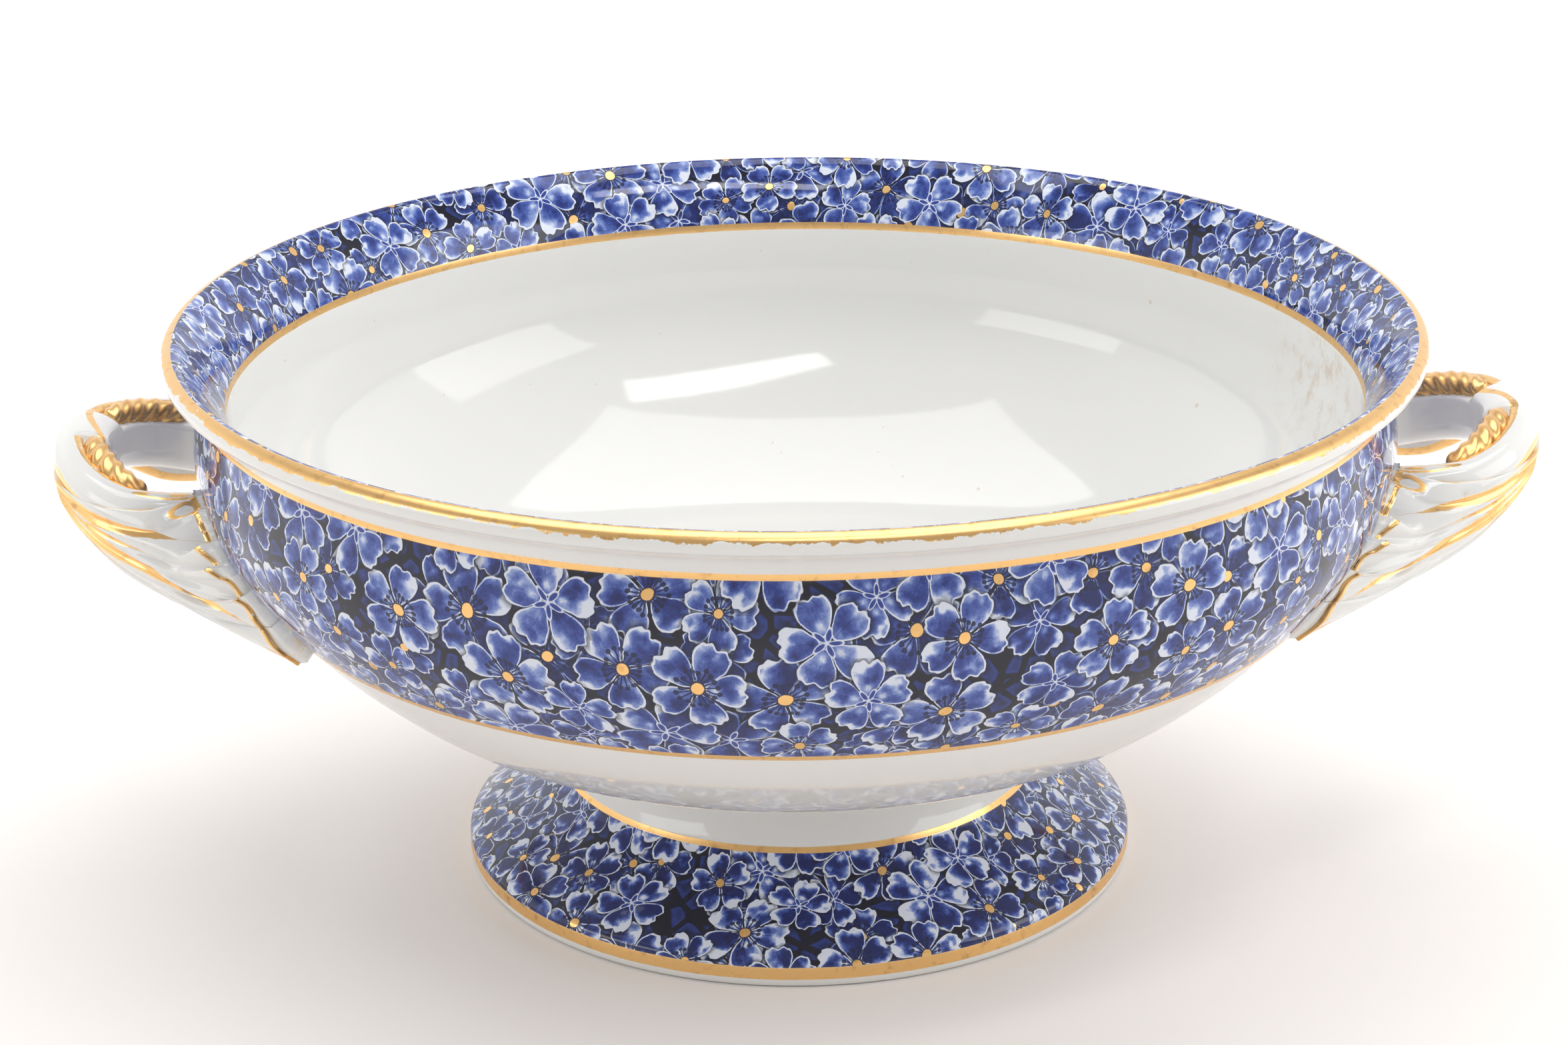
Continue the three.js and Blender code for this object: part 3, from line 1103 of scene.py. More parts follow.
def place_in_frame(piece: Any, node: str) -> None:
    """Rides a piece on the body, in place of its CAD node.

    Args:
        piece: The piece.
        node: The CAD node it replaces.
    """
    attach(piece, "root")
    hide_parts(node)
    LOG.info("%s: %d faces", piece.name, len(piece.data.polygons))


# ------------------------------------------------------------------------------ the blossom print
@dataclass
class Bloom:
    """One blossom of the print: angle and run of its centre, radius, turn and seed."""

    angle: float
    run: float
    radius: float
    turn: float
    seed: float


@dataclass
class BlossomField:
    """Scatters blossoms over one band of a turned body, in layers that overlap."""

    low: float
    high: float
    girth: float
    seed: int
    layers: int = 5
    smallest: float = 8.0
    largest: float = 11.0
    face_reach: float = 2.6
    spacing: tuple[float, ...] = (1.0, 0.70, 0.58, 0.46, 0.36)
    tries: int = 2400
    blooms: list[list[Bloom]] = field(default_factory=list)

    def scatter(self) -> None:
        """Throws blossoms onto the band, layer by layer, until no more fit."""
        rng = np.random.default_rng(self.seed)
        above: list[Bloom] = []
        for layer in range(self.layers):
            own: list[Bloom] = []
            for _ in range(self.tries):
                bloom = Bloom(
                    rng.uniform(0.0, TAU), rng.uniform(self.low - 4.0, self.high + 4.0),
                    rng.uniform(self.smallest, self.largest), rng.uniform(0.0, TAU), rng.uniform(0.0, 1.0))
                share = self.spacing[layer]
                if self.clear(bloom, own, 1.0, self.face_reach) and self.clear(bloom, above, share, 0.0):
                    own.append(bloom)
            self.blooms.append(own)
            above = above + own

    def clear(self, bloom: Bloom, others: Sequence[Bloom], share: float, extra: float) -> bool:
        """Tells whether a blossom keeps its distance from others.

        Args:
            bloom: The blossom.
            others: Blossoms to keep from.
            share: Share of both radii to keep.
            extra: Gap to add.

        Returns:
            True if it does.
        """
        for other in others:
            turn = (bloom.angle - other.angle + math.pi) % TAU - math.pi
            gap = math.hypot(turn * self.girth, bloom.run - other.run)
            if gap < share * (bloom.radius + other.radius) + extra:
                return False
        return True

    def write(self, layer: int, angles: np.ndarray, runs: np.ndarray, radii: np.ndarray,
              face_of: np.ndarray, face_angle: np.ndarray, face_run: np.ndarray, store: np.ndarray) -> None:
        """Writes each face corner's place in its blossom.

        Args:
            layer: Layer of blossoms.
            angles: Angle of each corner round the axis.
            runs: Run of each corner.
            radii: Distance of each corner from the axis, in millimetres.
            face_of: Face of each corner.
            face_angle: Angle of each face's middle.
            face_run: Run of each face's middle.
            store: Corner vectors, changed in place.
        """
        for bloom in self.blooms[layer]:
            turn = (face_angle - bloom.angle + math.pi) % TAU - math.pi
            reach = bloom.radius + 0.5 * self.face_reach
            near = np.hypot(turn * self.girth, face_run - bloom.run) < reach
            chosen = near[face_of]
            across = ((angles[chosen] - bloom.angle + math.pi) % TAU - math.pi) * radii[chosen]
            upward = runs[chosen] - bloom.run
            cos, sin = math.cos(bloom.turn), math.sin(bloom.turn)
            squash = 1.0 + 0.22 * ((bloom.seed * 17.0) % 1.0)
            store[chosen, 0] = (cos * across - sin * upward) / bloom.radius
            store[chosen, 1] = (sin * across + cos * upward) / bloom.radius * squash
            store[chosen, 2] = bloom.seed


def turned_corners(mesh: Any) -> tuple[np.ndarray, ...]:
    """Face of each corner, its angle, run and radius, and the angle and run of each face's middle.

    Args:
        mesh: The mesh.

    Returns:
        The six arrays, in that order.
    """
    spots = np.empty(len(mesh.vertices) * 3, np.float32)
    mesh.vertices.foreach_get("co", spots)
    spots = spots.reshape(-1, 3).astype(float) / MM
    run = np.empty(len(mesh.vertices), np.float32)
    mesh.attributes["run"].data.foreach_get("value", run)
    corner_vertex = np.empty(len(mesh.loops), np.int32)
    mesh.loops.foreach_get("vertex_index", corner_vertex)
    totals = np.empty(len(mesh.polygons), np.int32)
    mesh.polygons.foreach_get("loop_total", totals)
    face_of = np.repeat(np.arange(len(totals)), totals)
    corner_spots = spots[corner_vertex]
    centres = np.zeros((len(totals), 3))
    np.add.at(centres, face_of, corner_spots)
    face_run = np.bincount(face_of, run[corner_vertex]) / totals
    face_angle = np.arctan2(centres[:, 1], centres[:, 0])
    angles = np.arctan2(corner_spots[:, 1], corner_spots[:, 0])
    radii = np.hypot(corner_spots[:, 0], corner_spots[:, 1])
    return face_of, angles, run[corner_vertex], radii, face_angle, face_run


def print_blossoms(mesh: Any, fields: Sequence[BlossomField]) -> None:
    """Stores the blossom coordinates of all fields on a turned mesh.

    Args:
        mesh: Mesh with a "run" attribute.
        fields: The bands of blossoms.
    """
    face_of, angles, runs, radii, face_angle, face_run = turned_corners(mesh)
    for layer in range(max(band.layers for band in fields)):
        store = np.tile(np.array([9.0, 9.0, 0.0]), (len(face_of), 1))
        for band in fields:
            band.write(layer, angles, runs, radii, face_of, face_angle, face_run, store)
        add_corner_vectors(mesh, f"blossom_{layer}", store)


def lay_out_map(mesh: Any, zones: Sequence[tuple[float, float]], splits: int = 3, gap: float = 0.006) -> None:
    """Lays the surface out as strips, with the printed zones split so that they get more of the map.

    Args:
        mesh: Turned mesh with a "run" attribute.
        zones: Runs where the printed zones start and end.
        splits: How many strips each printed zone is split into round the axis.
        gap: Space between strips.
    """
    face_of, angles, runs, _, face_angle, face_run = turned_corners(mesh)
    cuts = sorted({float(runs.min()), float(runs.max()), *[run for zone in zones for run in zone]})
    spans = list(zip(cuts[:-1], cuts[1:]))
    parts = [splits if (low, high) in [tuple(zone) for zone in zones] else 1 for low, high in spans]
    heights = [(high - low) * (3.0 if part > 1 else 0.8) for (low, high), part in zip(spans, parts)]
    total = sum(height * part for height, part in zip(heights, parts))
    scale = (1.0 - gap * (sum(parts) + 1)) / total
    place = np.zeros((len(face_of), 2))
    base = gap
    share = (face_angle / TAU) % 1.0
    corner = share[face_of] + ((angles - face_angle[face_of] + math.pi) % TAU - math.pi) / TAU
    for (low, high), part, height in zip(spans, parts, heights):
        inside = (face_run >= low) & (face_run < high + 1e-6)
        for k in range(part):
            chosen = (inside & (np.floor(share * part).astype(int) == k))[face_of]
            place[chosen, 0] = gap + (corner[chosen] * part - k) * (1.0 - 2.0 * gap)
            place[chosen, 1] = base + np.clip((runs[chosen] - low) / (high - low), 0.0, 1.0) * height * scale
            base += height * scale + gap
    layer = mesh.uv_layers.new(name="OFBake")
    layer.data.foreach_set("uv", np.ascontiguousarray(place, np.float32).ravel())


# ------------------------------------------------------------------------------ turned pieces
@dataclass
class TurnedPiece:
    """Something thrown and turned on the wheel, from a profile of radius and height."""

    turning: NodeModel
    columns: int = 400

    def profile(self) -> tuple[np.ndarray, dict[str, float]]:
        """Profile points, and the run at each named mark. Subclasses give it."""
        raise NotImplementedError

    @staticmethod
    def run_of(points: np.ndarray) -> np.ndarray:
        """Length of surface from the start of a profile to each of its points."""
        steps = np.linalg.norm(np.diff(points, axis=0), axis=1)
        return np.concatenate([[0.0], np.cumsum(steps)])

    def turn(self, name: str, points: np.ndarray, material: Any) -> Any:
        """Turns the profile into a closed piece.

        Args:
            name: Name of it.
            points: Profile, as radius and height.
            material: Its finish.

        Returns:
            The object.
        """
        guide = line_mesh(f"{name}_profile", np.insert(points, 1, 0.0, axis=1), False)
        run = guide.attributes.new("run", "FLOAT", "POINT")
        run.data.foreach_set("value", self.run_of(points).astype(np.float32))
        piece = self.turning.run(name, guide, Columns=self.columns, Rows=len(points), Finish=material)
        face_outwards(piece.data)
        return piece


@dataclass
class BowlBody(TurnedPiece):
    """Turned body with the rolled lip, printed outside and inside the lip."""

    height: float = 128.3
    wall_points: tuple[tuple[float, float], ...] = (
        (52.5, 37.0), (70.0, 40.6), (92.3, 49.0), (108.3, 61.0), (121.5, 74.8), (131.0, 89.0),
        (134.0, 101.0), (133.9, 108.0), (132.7, 117.3))
    lip_points: tuple[tuple[float, float], ...] = (
        (132.7, 117.3), (133.4, 119.4), (134.8, 121.5), (136.8, 123.1), (138.2, 123.6), (139.1, 124.0),
        (139.8, 124.9), (140.0, 126.0), (139.7, 127.0), (138.9, 127.8), (137.9, 128.25), (137.2, 128.3),
        (136.4, 128.0), (135.6, 127.4))
    flare_points: tuple[tuple[float, float], ...] = (
        (135.6, 127.4), (133.5, 125.0), (131.3, 122.3), (129.3, 119.2), (127.7, 116.2), (126.8, 113.6),
        (126.5, 110.5), (126.6, 101.0))
    inside_points: tuple[tuple[float, float], ...] = (
        (126.6, 101.0), (123.6, 88.0), (114.4, 74.6), (101.2, 62.0), (84.0, 52.2), (60.0, 46.6),
        (30.0, 44.9), (0.0, 44.5))
    lower_line_height: float = 74.8
    upper_line_height: float = 117.3
    inner_line_height: float = 112.8
    lip_gold: tuple[float, float] = (126.2, 137.7)

    def profile(self) -> tuple[np.ndarray, dict[str, float]]:
        """Profile from the seat over the foot, up the wall, over the lip and down the inside.

        Returns:
            The points, and the run at each gilt line.
        """
        seat = smooth_line(((0.0, 37.0), self.wall_points[0]), 9.0)
        wall = smooth_line(self.wall_points, 1.9)
        lip = smooth_line(self.lip_points, 0.55)
        flare = smooth_line(self.flare_points, 1.4)
        inside = smooth_line(self.inside_points, 4.0)
        points = np.vstack([seat[:-1], wall[:-1], lip[:-1], flare[:-1], inside])
        run = self.run_of(points)
        top = int(np.argmax(points[:, 1]))
        outer, inner = slice(len(seat), top), slice(top, len(points))
        falling = points[inner, 1][::-1]
        marks = {
            "lower_line": float(np.interp(self.lower_line_height, points[outer, 1], run[outer])),
            "upper_line": float(np.interp(self.upper_line_height, points[outer, 1], run[outer])),
            "inner_line": float(np.interp(self.inner_line_height, falling, run[inner][::-1])),
        }
        marks["gold_outer"] = float(np.interp(self.lip_gold[0], points[outer, 1], run[outer]))
        marks["gold_inner"] = float(np.interp(-self.lip_gold[1], -points[inner, 0], run[inner]))
        return points, marks

    def build(self, blossom: Any) -> None:
        """Makes, prints and places the body.

        Args:
            blossom: Node group that draws one blossom.
        """
        points, marks = self.profile()
        finish = GlazedPrint(
            "PrintedBody",
            print_zones=(
                (marks["lower_line"], marks["upper_line"]), (marks["gold_inner"], marks["inner_line"])),
            gilt_lines=(
                (marks["lower_line"] - 0.9, marks["lower_line"] + 0.8, 0.2),
                (marks["upper_line"] - 0.7, marks["upper_line"] + 0.7, 0.35),
                (marks["inner_line"] - 0.9, marks["inner_line"] + 0.9, 0.0),
                (marks["gold_outer"], marks["gold_inner"], 0.9)),
            layers=5, has_handles=True, inner_from=marks["inner_line"] + 1.0)
        piece = self.turn("bowl_body_glazed", points, finish.build(blossom))
        outside = BlossomField(marks["lower_line"], marks["upper_line"], 131.0, seed=11)
        lip = BlossomField(
            marks["gold_inner"], marks["inner_line"], 130.0, seed=23, smallest=7.4, largest=10.0)
        for band in (outside, lip):
            band.scatter()
            LOG.info("blossoms in each layer: %s", [len(layer) for layer in band.blooms])
        print_blossoms(piece.data, (outside, lip))
        lay_out_map(piece.data, finish.print_zones)
        place_in_frame(piece, "bowl_body")


@dataclass
class PedestalFoot(TurnedPiece):
    """Turned hollow foot, printed outside, with an unglazed resting ring."""

    outside_points: tuple[tuple[float, float], ...] = (
        (75.8, 7.2), (71.5, 10.0), (62.6, 15.0), (55.4, 21.6), (52.6, 28.0), (51.5, 35.4))
    edge_points: tuple[tuple[float, float], ...] = (
        (76.0, 0.0), (76.9, 0.35), (77.4, 1.2), (77.5, 2.6), (77.4, 5.0), (76.9, 6.3), (75.8, 7.2))
    inside_points: tuple[tuple[float, float], ...] = (
        (44.5, 35.4), (46.0, 26.0), (50.5, 17.0), (60.0, 9.5), (69.0, 3.4), (70.0, 0.0))
    upper_line_height: float = 21.6
    lower_line: tuple[float, float] = (2.1, 4.9)

    def profile(self) -> tuple[np.ndarray, dict[str, float]]:
        """Profile from the resting ring up the outside and down the hollow.

        Returns:
            The points, and the run at each gilt line.
        """
        edge = smooth_line(self.edge_points, 0.6)
        outside = smooth_line(self.outside_points, 1.8)
        inside = smooth_line(self.inside_points, 3.0)
        points = np.vstack([edge[:-1], outside, inside, edge[:1]])
        run = self.run_of(points)
        rising = slice(0, len(edge) + len(outside) - 1)
        heights = points[rising, 1]
        marks = {
            "upper_line": float(np.interp(self.upper_line_height, heights, run[rising])),
            "band_low": float(np.interp(self.lower_line[0], heights, run[rising])),
            "band_high": float(np.interp(self.lower_line[1], heights, run[rising])),
            "ring_start": float(run[-2]),
            "ring_end": float(run[-1]),
        }
        return points, marks

    def build(self, blossom: Any) -> None:
        """Makes, prints and places the foot.

        Args:
            blossom: Node group that draws one blossom.
        """
        points, marks = self.profile()
        finish = GlazedPrint(
            "PrintedFoot",
            print_zones=((marks["band_high"], marks["upper_line"]),),
            gilt_lines=(
                (marks["upper_line"] - 0.2, marks["upper_line"] + 1.2, 0.0),
                (marks["band_low"], marks["band_high"], 0.25)),
            layers=5, bare_zone=(marks["ring_start"], marks["ring_end"]), contrast=1.7)
        piece = self.turn("pedestal_foot_glazed", points, finish.build(blossom))
        band = BlossomField(marks["band_high"], marks["upper_line"], 66.0, seed=37, smallest=7.2, largest=9.8)
        band.scatter()
        print_blossoms(piece.data, (band,))
        lay_out_map(piece.data, finish.print_zones)
        place_in_frame(piece, "pedestal_foot")


@dataclass
class FootSlipRing(TurnedPiece):
    """Bead of luting slip between the body and the foot."""

    columns: int = 160

    def profile(self) -> tuple[np.ndarray, dict[str, float]]:
        """Closed profile of the bead.

        Returns:
            The points, and no marks.
        """
        outline = ((45.0, 35.4), (51.3, 35.4), (52.1, 35.8), (52.6, 36.4), (52.6, 37.0), (45.0, 37.0))
        points = np.array([*outline, outline[0]])
        return points, {}

    def build(self, material: Any) -> None:
        """Makes and places the bead.

        Args:
            material: Its finish.
        """
        points, _ = self.profile()
        piece = self.turn("foot_slip_bead", points, material)
        place_in_frame(piece, "foot_slip_joint")


# ------------------------------------------------------------------------------ handles
@dataclass
class LeafVein:
    """One gilt vein on a leaf: where it starts and ends across the leaf, and how wide it is."""

    start: float
    end: float
    reach: float
    width: float


@dataclass
class HandleShape:
    """Outlines of one handle, drawn at +X, with the near branch at -Y."""

    reach: float = 161.0
    half_spread: float = 29.5
    half_thickness: float = 6.4
    collar: float = 0.068
    rope_start: float = 0.205
    rope_radius: float = 3.15
    rope_turns: float = 1.5
    rope_strands: int = 4
    rope_groove: float = 0.075
    seat_depth: float = 3.5
    leaf_upper: tuple[Point3, ...] = (
        (166.6, -5.0, 101.5), (163.8, -19.0, 100.5), (154.0, -31.5, 99.8), (143.8, -36.0, 99.6),
        (137.2, -35.8, 100.4))
    leaf_lower: tuple[Point3, ...] = (
        (163.2, -7.0, 96.0), (159.2, -20.0, 91.0), (149.0, -29.0, 83.0), (136.5, -38.8, 79.7),
        (123.5, -49.3, 77.0))
    leaf_edge: tuple[Point3, ...] = (
        (132.6, -33.1, 101.2), (130.6, -34.4, 99.3), (132.0, -37.0, 98.4), (128.9, -39.4, 97.3),
        (127.3, -41.9, 94.8), (128.0, -44.7, 93.0), (130.3, -47.6, 93.6), (127.0, -50.0, 91.4),
        (127.2, -52.0, 90.8), (123.2, -53.1, 88.8), (119.0, -53.8, 86.4), (118.3, -54.9, 85.0),
        (119.4, -56.3, 84.9), (116.3, -57.1, 82.2), (113.5, -57.8, 79.6), (114.6, -59.0, 78.8),
        (111.1, -59.7, 75.6), (107.0, -60.0, 72.4))
    leaf_lean: tuple[Point3, ...] = (
        (1.0, -0.25, -0.2), (0.86, -0.5, -0.2), (0.55, -0.8, -0.3), (0.45, -0.84, -0.3),
        (0.5, -0.8, -0.3), (0.60, -0.72, -0.34))
    leaf_bulge: tuple[float, ...] = (0.5, 1.5, 2.4, 3.0, 3.4)
    leaf_depth: tuple[float, ...] = (4.0, 5.0, 5.0, 6.0, 8.0, 8.0)
    notches: tuple[float, ...] = (0.13, 0.41, 0.55, 0.74, 0.89)
    veins: tuple[LeafVein, ...] = (
        LeafVein(0.12, 0.22, 0.84, 2.6), LeafVein(0.18, 0.40, 0.62, 1.8), LeafVein(0.26, 0.80, 0.94, 3.4),
        LeafVein(0.36, 0.80, 0.50, 2.0))

    def crest(self, share: np.ndarray) -> np.ndarray:
        """Crest of the strap at places from the near root, 0, to the far root, 1.

        Args:
            share: Places along it, 0 to 1.

        Returns:
            The points.
        """
        half = [
            (118.0, -23.0, 99.6), (131.0, -27.4, 101.0), (139.0, -self.half_spread, 102.0),
            (146.4, -28.4, 103.0), (153.6, -22.6, 105.2), (158.9, -12.6, 107.4)]
        knots = np.array([*half, (self.reach, 0.0, 108.2), *[(x, -y, z) for x, y, z in reversed(half)]])
        fine = smooth_line(knots, 0.4)
        length = TurnedPiece.run_of(fine)
        return np.stack([np.interp(share * length[-1], length, fine[:, i]) for i in range(3)], axis=-1)

    def axes(self, share: np.ndarray) -> tuple[np.ndarray, np.ndarray]:
        """Crest points, and the outward direction at each, in plan.

        Args:
            share: Places along it, 0 to 1.

        Returns:
            The points and the directions.
        """
        step = 0.004
        ahead = self.crest(np.clip(share + step, 0.0, 1.0))
        behind = self.crest(np.clip(share - step, 0.0, 1.0))
        tangent = ahead - behind
        outward = np.stack([tangent[:, 1], -tangent[:, 0], np.zeros(len(share))], axis=-1)
        return self.crest(share), unit(outward)

    def swept(self, share: np.ndarray, outline: np.ndarray) -> np.ndarray:
        """Places outline points [place, point, (outwards, upwards)] along the crest.

        Args:
            share: Places along it, 0 to 1.
            outline: Outline points at each place.

        Returns:
            The points, in rings.
        """
        spots, outward = self.axes(share)
        rings = spots[:, None, :] + outline[..., :1] * outward[:, None, :]
        rings[..., 2] += outline[..., 1]
        return rings

    def strap_outline(self, share: np.ndarray, steps: int, growth: float) -> np.ndarray:
        """Strap section at each place: rounded crest, rope shoulder, outer channel and tall web.

        Args:
            share: Places along it, 0 to 1.
            steps: Points round each section.
            growth: Millimetres to grow the section by.

        Returns:
            The outlines.
        """
        half = self.half_thickness
        sections = []
        for place in share:
            wall = abs(place - 0.5) * 2.0
            depth = 15.0 + 3.0 * wall
            knots = np.array([
                (2.2, 0.0), (3.9, -0.35), (5.3, -1.5), (half, -3.6), (half, -5.6), (half - 0.7, -6.6),
                (half - 0.5, -7.6), (half, -9.2), (0.86 * half, -0.80 * depth), (0.5 * half, -0.95 * depth),
                (0.0, -depth), (-0.55 * half, -0.95 * depth), (-0.88 * half, -0.80 * depth),
                (-0.97 * half, -0.55 * depth), (-half, -6.0), (-half, -4.8), (-5.5, -3.9), (-3.0, -3.0),
                (-0.9, -1.8), (0.2, -0.35)])
            full = np.clip((self.collar + 0.004 - abs(place - 0.5)) / 0.018, 0.0, 1.0)
            collar = np.array([(-6.3, -3.6), (-5.6, -2.2), (-3.6, -0.9), (-1.6, -0.2), (0.4, 0.0)])
            knots[-5:] += (collar - knots[-5:]) * full * full * (3.0 - 2.0 * full)
            closed = along(np.vstack([knots, knots[:1]]), np.arange(steps) / steps)
            middle = np.array([0.0, -depth / 2.0])
            sections.append(middle + (closed - middle) * (1.0 + growth / half))
        return np.array(sections)

    def strap(
        self, side: Side, low: float, high: float, rows: int, growth: float
    ) -> tuple[np.ndarray, np.ndarray]:
        """Rings of the strap and their facts: millimetres outwards and upwards from the crest, and place.

        Args:
            side: The handle.
            low: Lower place.
            high: Upper place.
            rows: Rings along the strap.
            growth: Millimetres to grow the section by.

        Returns:
            The rings and the facts.
        """
        share = np.linspace(low, high, rows)
        outline = self.strap_outline(share, 64, growth)
        rings = self.sunk(self.swept(share, outline), self.seat_depth)
        facts = np.stack([outline[..., 0], outline[..., 1], share[:, None] + 0.0 * outline[..., 0]], axis=-1)
        return self.to_side(rings, side), facts

    def sunk(self, points: np.ndarray, depth: float) -> np.ndarray:
        """Keeps points that reach into the bowl's wall at a depth inside it.

        Args:
            points: Points in millimetres.
            depth: Depth inside the wall.

        Returns:
            The points, moved.
        """
        wall = np.array(BowlBody.wall_points)
        target = np.interp(points[..., 2], wall[:, 1], wall[:, 0]) - depth
        radius = np.hypot(points[..., 0], points[..., 1])
        moved = points.copy()
        moved[..., :2] *= np.maximum(1.0, target / radius)[..., None]
        return moved

    def slip_collar(self, side: Side, far: bool) -> tuple[np.ndarray, np.ndarray]:
        """Rings of the slip that oozed out round one root of the strap.

        Args:
            side: The handle.
            far: True for the branch at +Y on the drawn handle.

        Returns:
            The rings, and empty facts.
        """
        low, high = (0.87, 0.96) if far else (0.04, 0.13)
        share = np.linspace(low, high, 12)
        rings = self.sunk(self.swept(share, self.strap_outline(share, 64, 0.45)), 2.0)
        wall = np.array(BowlBody.wall_points)
        limit = np.interp(rings[..., 2], wall[:, 1], wall[:, 0]) + 1.0
        radius = np.hypot(rings[..., 0], rings[..., 1])
        rings[..., :2] *= np.minimum(1.0, limit / radius)[..., None]
        return self.to_side(rings, side), np.zeros(rings.shape)

    def to_side(self, points: np.ndarray, side: Side) -> np.ndarray:
        """Lowers points by the handle's drop and turns them to its side of the bowl.

        Args:
            points: Points in millimetres.
            side: The handle.

        Returns:
            The points, moved.
        """
        moved = points.copy()
        moved[..., 2] -= side.drop
        moved[..., :2] *= side.sign
        return moved

    def leaf(self, side: Side, far: bool, rows: int = 96, across: int = 132) -> tuple[np.ndarray, np.ndarray]:
        """Rings of one leaf and their facts: place along, place across, and how far round the back.

        Args:
            side: The handle.
            far: True for the branch at +Y on the drawn handle.
            rows: Rings along the leaf.
            across: Points across its outer face.

        Returns:
            The rings and the facts.
        """
        w = np.linspace(0.0, 1.0, across)
        upper, lower = np.array(self.leaf_upper), np.array(self.leaf_lower)
        lean = unit(np.array(self.leaf_lean))
        hump = np.sin(np.pi * w) ** 0.7
        table = upper[:, None] + (lower - upper)[:, None] * w[:, None]
        table = table + lean[:-1, None] * (np.array(self.leaf_bulge)[:, None] * hump)[..., None]
        edge = along(np.array(self.leaf_edge), w)
        edge += (self.pressed(edge, -0.6) - edge) * 0.5
        trend = np.stack([
            np.convolve(np.pad(axis, 12, mode="edge"), np.full(25, 0.04), "valid")
            for axis in edge.T], axis=1)
        edge += (edge - trend) * np.sqrt(np.sin(np.pi * w))[:, None] * 0.9
        table = np.concatenate([table, edge[None]], axis=0)
        u = np.linspace(0.0, 1.0, rows)
        leans = unit(along(lean, u))
        outer = along(table, u) + leans[:, None] * self.relief(u, w)[..., None]
        depth = np.interp(u, np.linspace(0, 1, len(self.leaf_depth)), self.leaf_depth)[:, None]
        low, top = outer[:, -1], outer[:, 0]
        lift = np.array([0.0, 0.0, 1.0])
        inner = np.stack([
            low - leans * 1.3 + lift * 0.2, low - leans * 0.45 * depth + lift * 2.2,
            low + (top - low) * 0.35 - leans * depth, low + (top - low) * 0.9 - leans * depth], axis=1)
        rings = np.concatenate([outer, inner], axis=1)
        back = unit(outer[-5] - outer[-1])
        under = np.concatenate([outer[-1] - leans[-1] * 1.0, inner[-1]])
        landing = self.pressed(np.concatenate([outer[-1] - back * 1.5, inner[-1]]), 0.1)
        turned = [
            np.concatenate([outer[-1] - leans[-1] * 0.5 - back * 0.12, inner[-1]]), under,
            under * 0.45 + landing * 0.55, landing, self.pressed(landing, 3.4)]
        rings = np.concatenate([rings, turned], axis=0)
        places = np.concatenate([u, [1.02, 1.045, 1.12, 1.18, 1.25]])
        facts = np.zeros(rings.shape)
        facts[..., 0] = places[:, None]
        facts[:, :across, 1] = w
        facts[:, across:, 1] = 1.0
        facts[:, across:, 2] = (0.25, 0.5, 0.75, 1.0)
        if far:
            rings = rings * np.array([1.0, -1.0, 1.0])
        return self.to_side(self.sunk(rings, self.seat_depth), side), facts

    def pressed(self, points: np.ndarray, depth: float) -> np.ndarray:
        """Points moved square on to the wall's surface, and on into it by a depth.

        Args:
            points: Points in millimetres.
            depth: Depth inside the wall.

        Returns:
            The points, moved.
        """
        wall = smooth_line(BowlBody.wall_points, 0.4)
        tangent = unit(np.gradient(wall, axis=0))
        radius = np.hypot(points[:, 0], points[:, 1])
        place = np.stack([radius, points[:, 2]], axis=1)
        nearest = np.linalg.norm(place[:, None] - wall[None], axis=2).argmin(axis=1)
        normal = np.stack([tangent[nearest, 1], -tangent[nearest, 0]], axis=1)
        target = wall[nearest] - normal * depth
        return np.column_stack([points[:, :2] * (target[:, 0] / radius)[:, None], target[:, 1]])

    def relief(self, u: np.ndarray, w: np.ndarray) -> np.ndarray:
        """Height of the leaf's modelling: furrows at the veins, and folds running to the notches.

        Args:
            u: Places along the leaf.
            w: Places across it.

        Returns:
            The heights.
        """
        grid_u, grid_w = u[:, None], w[None, :]
        height = np.zeros((len(u), len(w)))
        fade = np.clip(grid_u * 4.0, 0.0, 1.0) * np.clip((1.0 - grid_u) * 5.0, 0.1, 1.0)
        for vein in self.veins:
            centre = vein.start + (vein.end - vein.start) * np.clip(grid_u / vein.reach, 0.0, 1.3) ** 1.2
            spread = 0.035 + 0.02 * grid_u
            height -= 0.65 * fade * np.exp(-(((grid_w - centre) / spread) ** 2))
        fold = np.clip((grid_u - 0.50) / 0.45, 0.0, 1.0)
        for notch in self.notches:
            place = 0.45 + (notch - 0.45) * (0.55 + 0.45 * grid_u)
            height -= 1.0 * fold * np.exp(-(((grid_w - place) / 0.028) ** 2))
            height += 0.45 * fold * np.exp(-(((grid_w - place - 0.055) / 0.035) ** 2))
        rim = np.exp(-(((1.0 - grid_u) / 0.02) ** 2)) * 0.35
        return height + rim * np.clip(grid_w * 10.0, 0.0, 1.0)

    def rope_line(self, side: Side, far: bool) -> np.ndarray:
        """Middle line of one rope twist, on the strap's inner shoulder.

        Args:
            side: The handle.
            far: True for the branch at +Y on the drawn handle.

        Returns:
            The line.
        """
        low, high = self.rope_start, 0.5 - self.collar
        share = np.linspace(low, high, 60)
        if far:
            share = 1.0 - share
        outline = np.broadcast_to(np.array([-3.0, -2.2]), (60, 1, 2))
        return self.to_side(self.swept(share, outline)[:, 0], side)


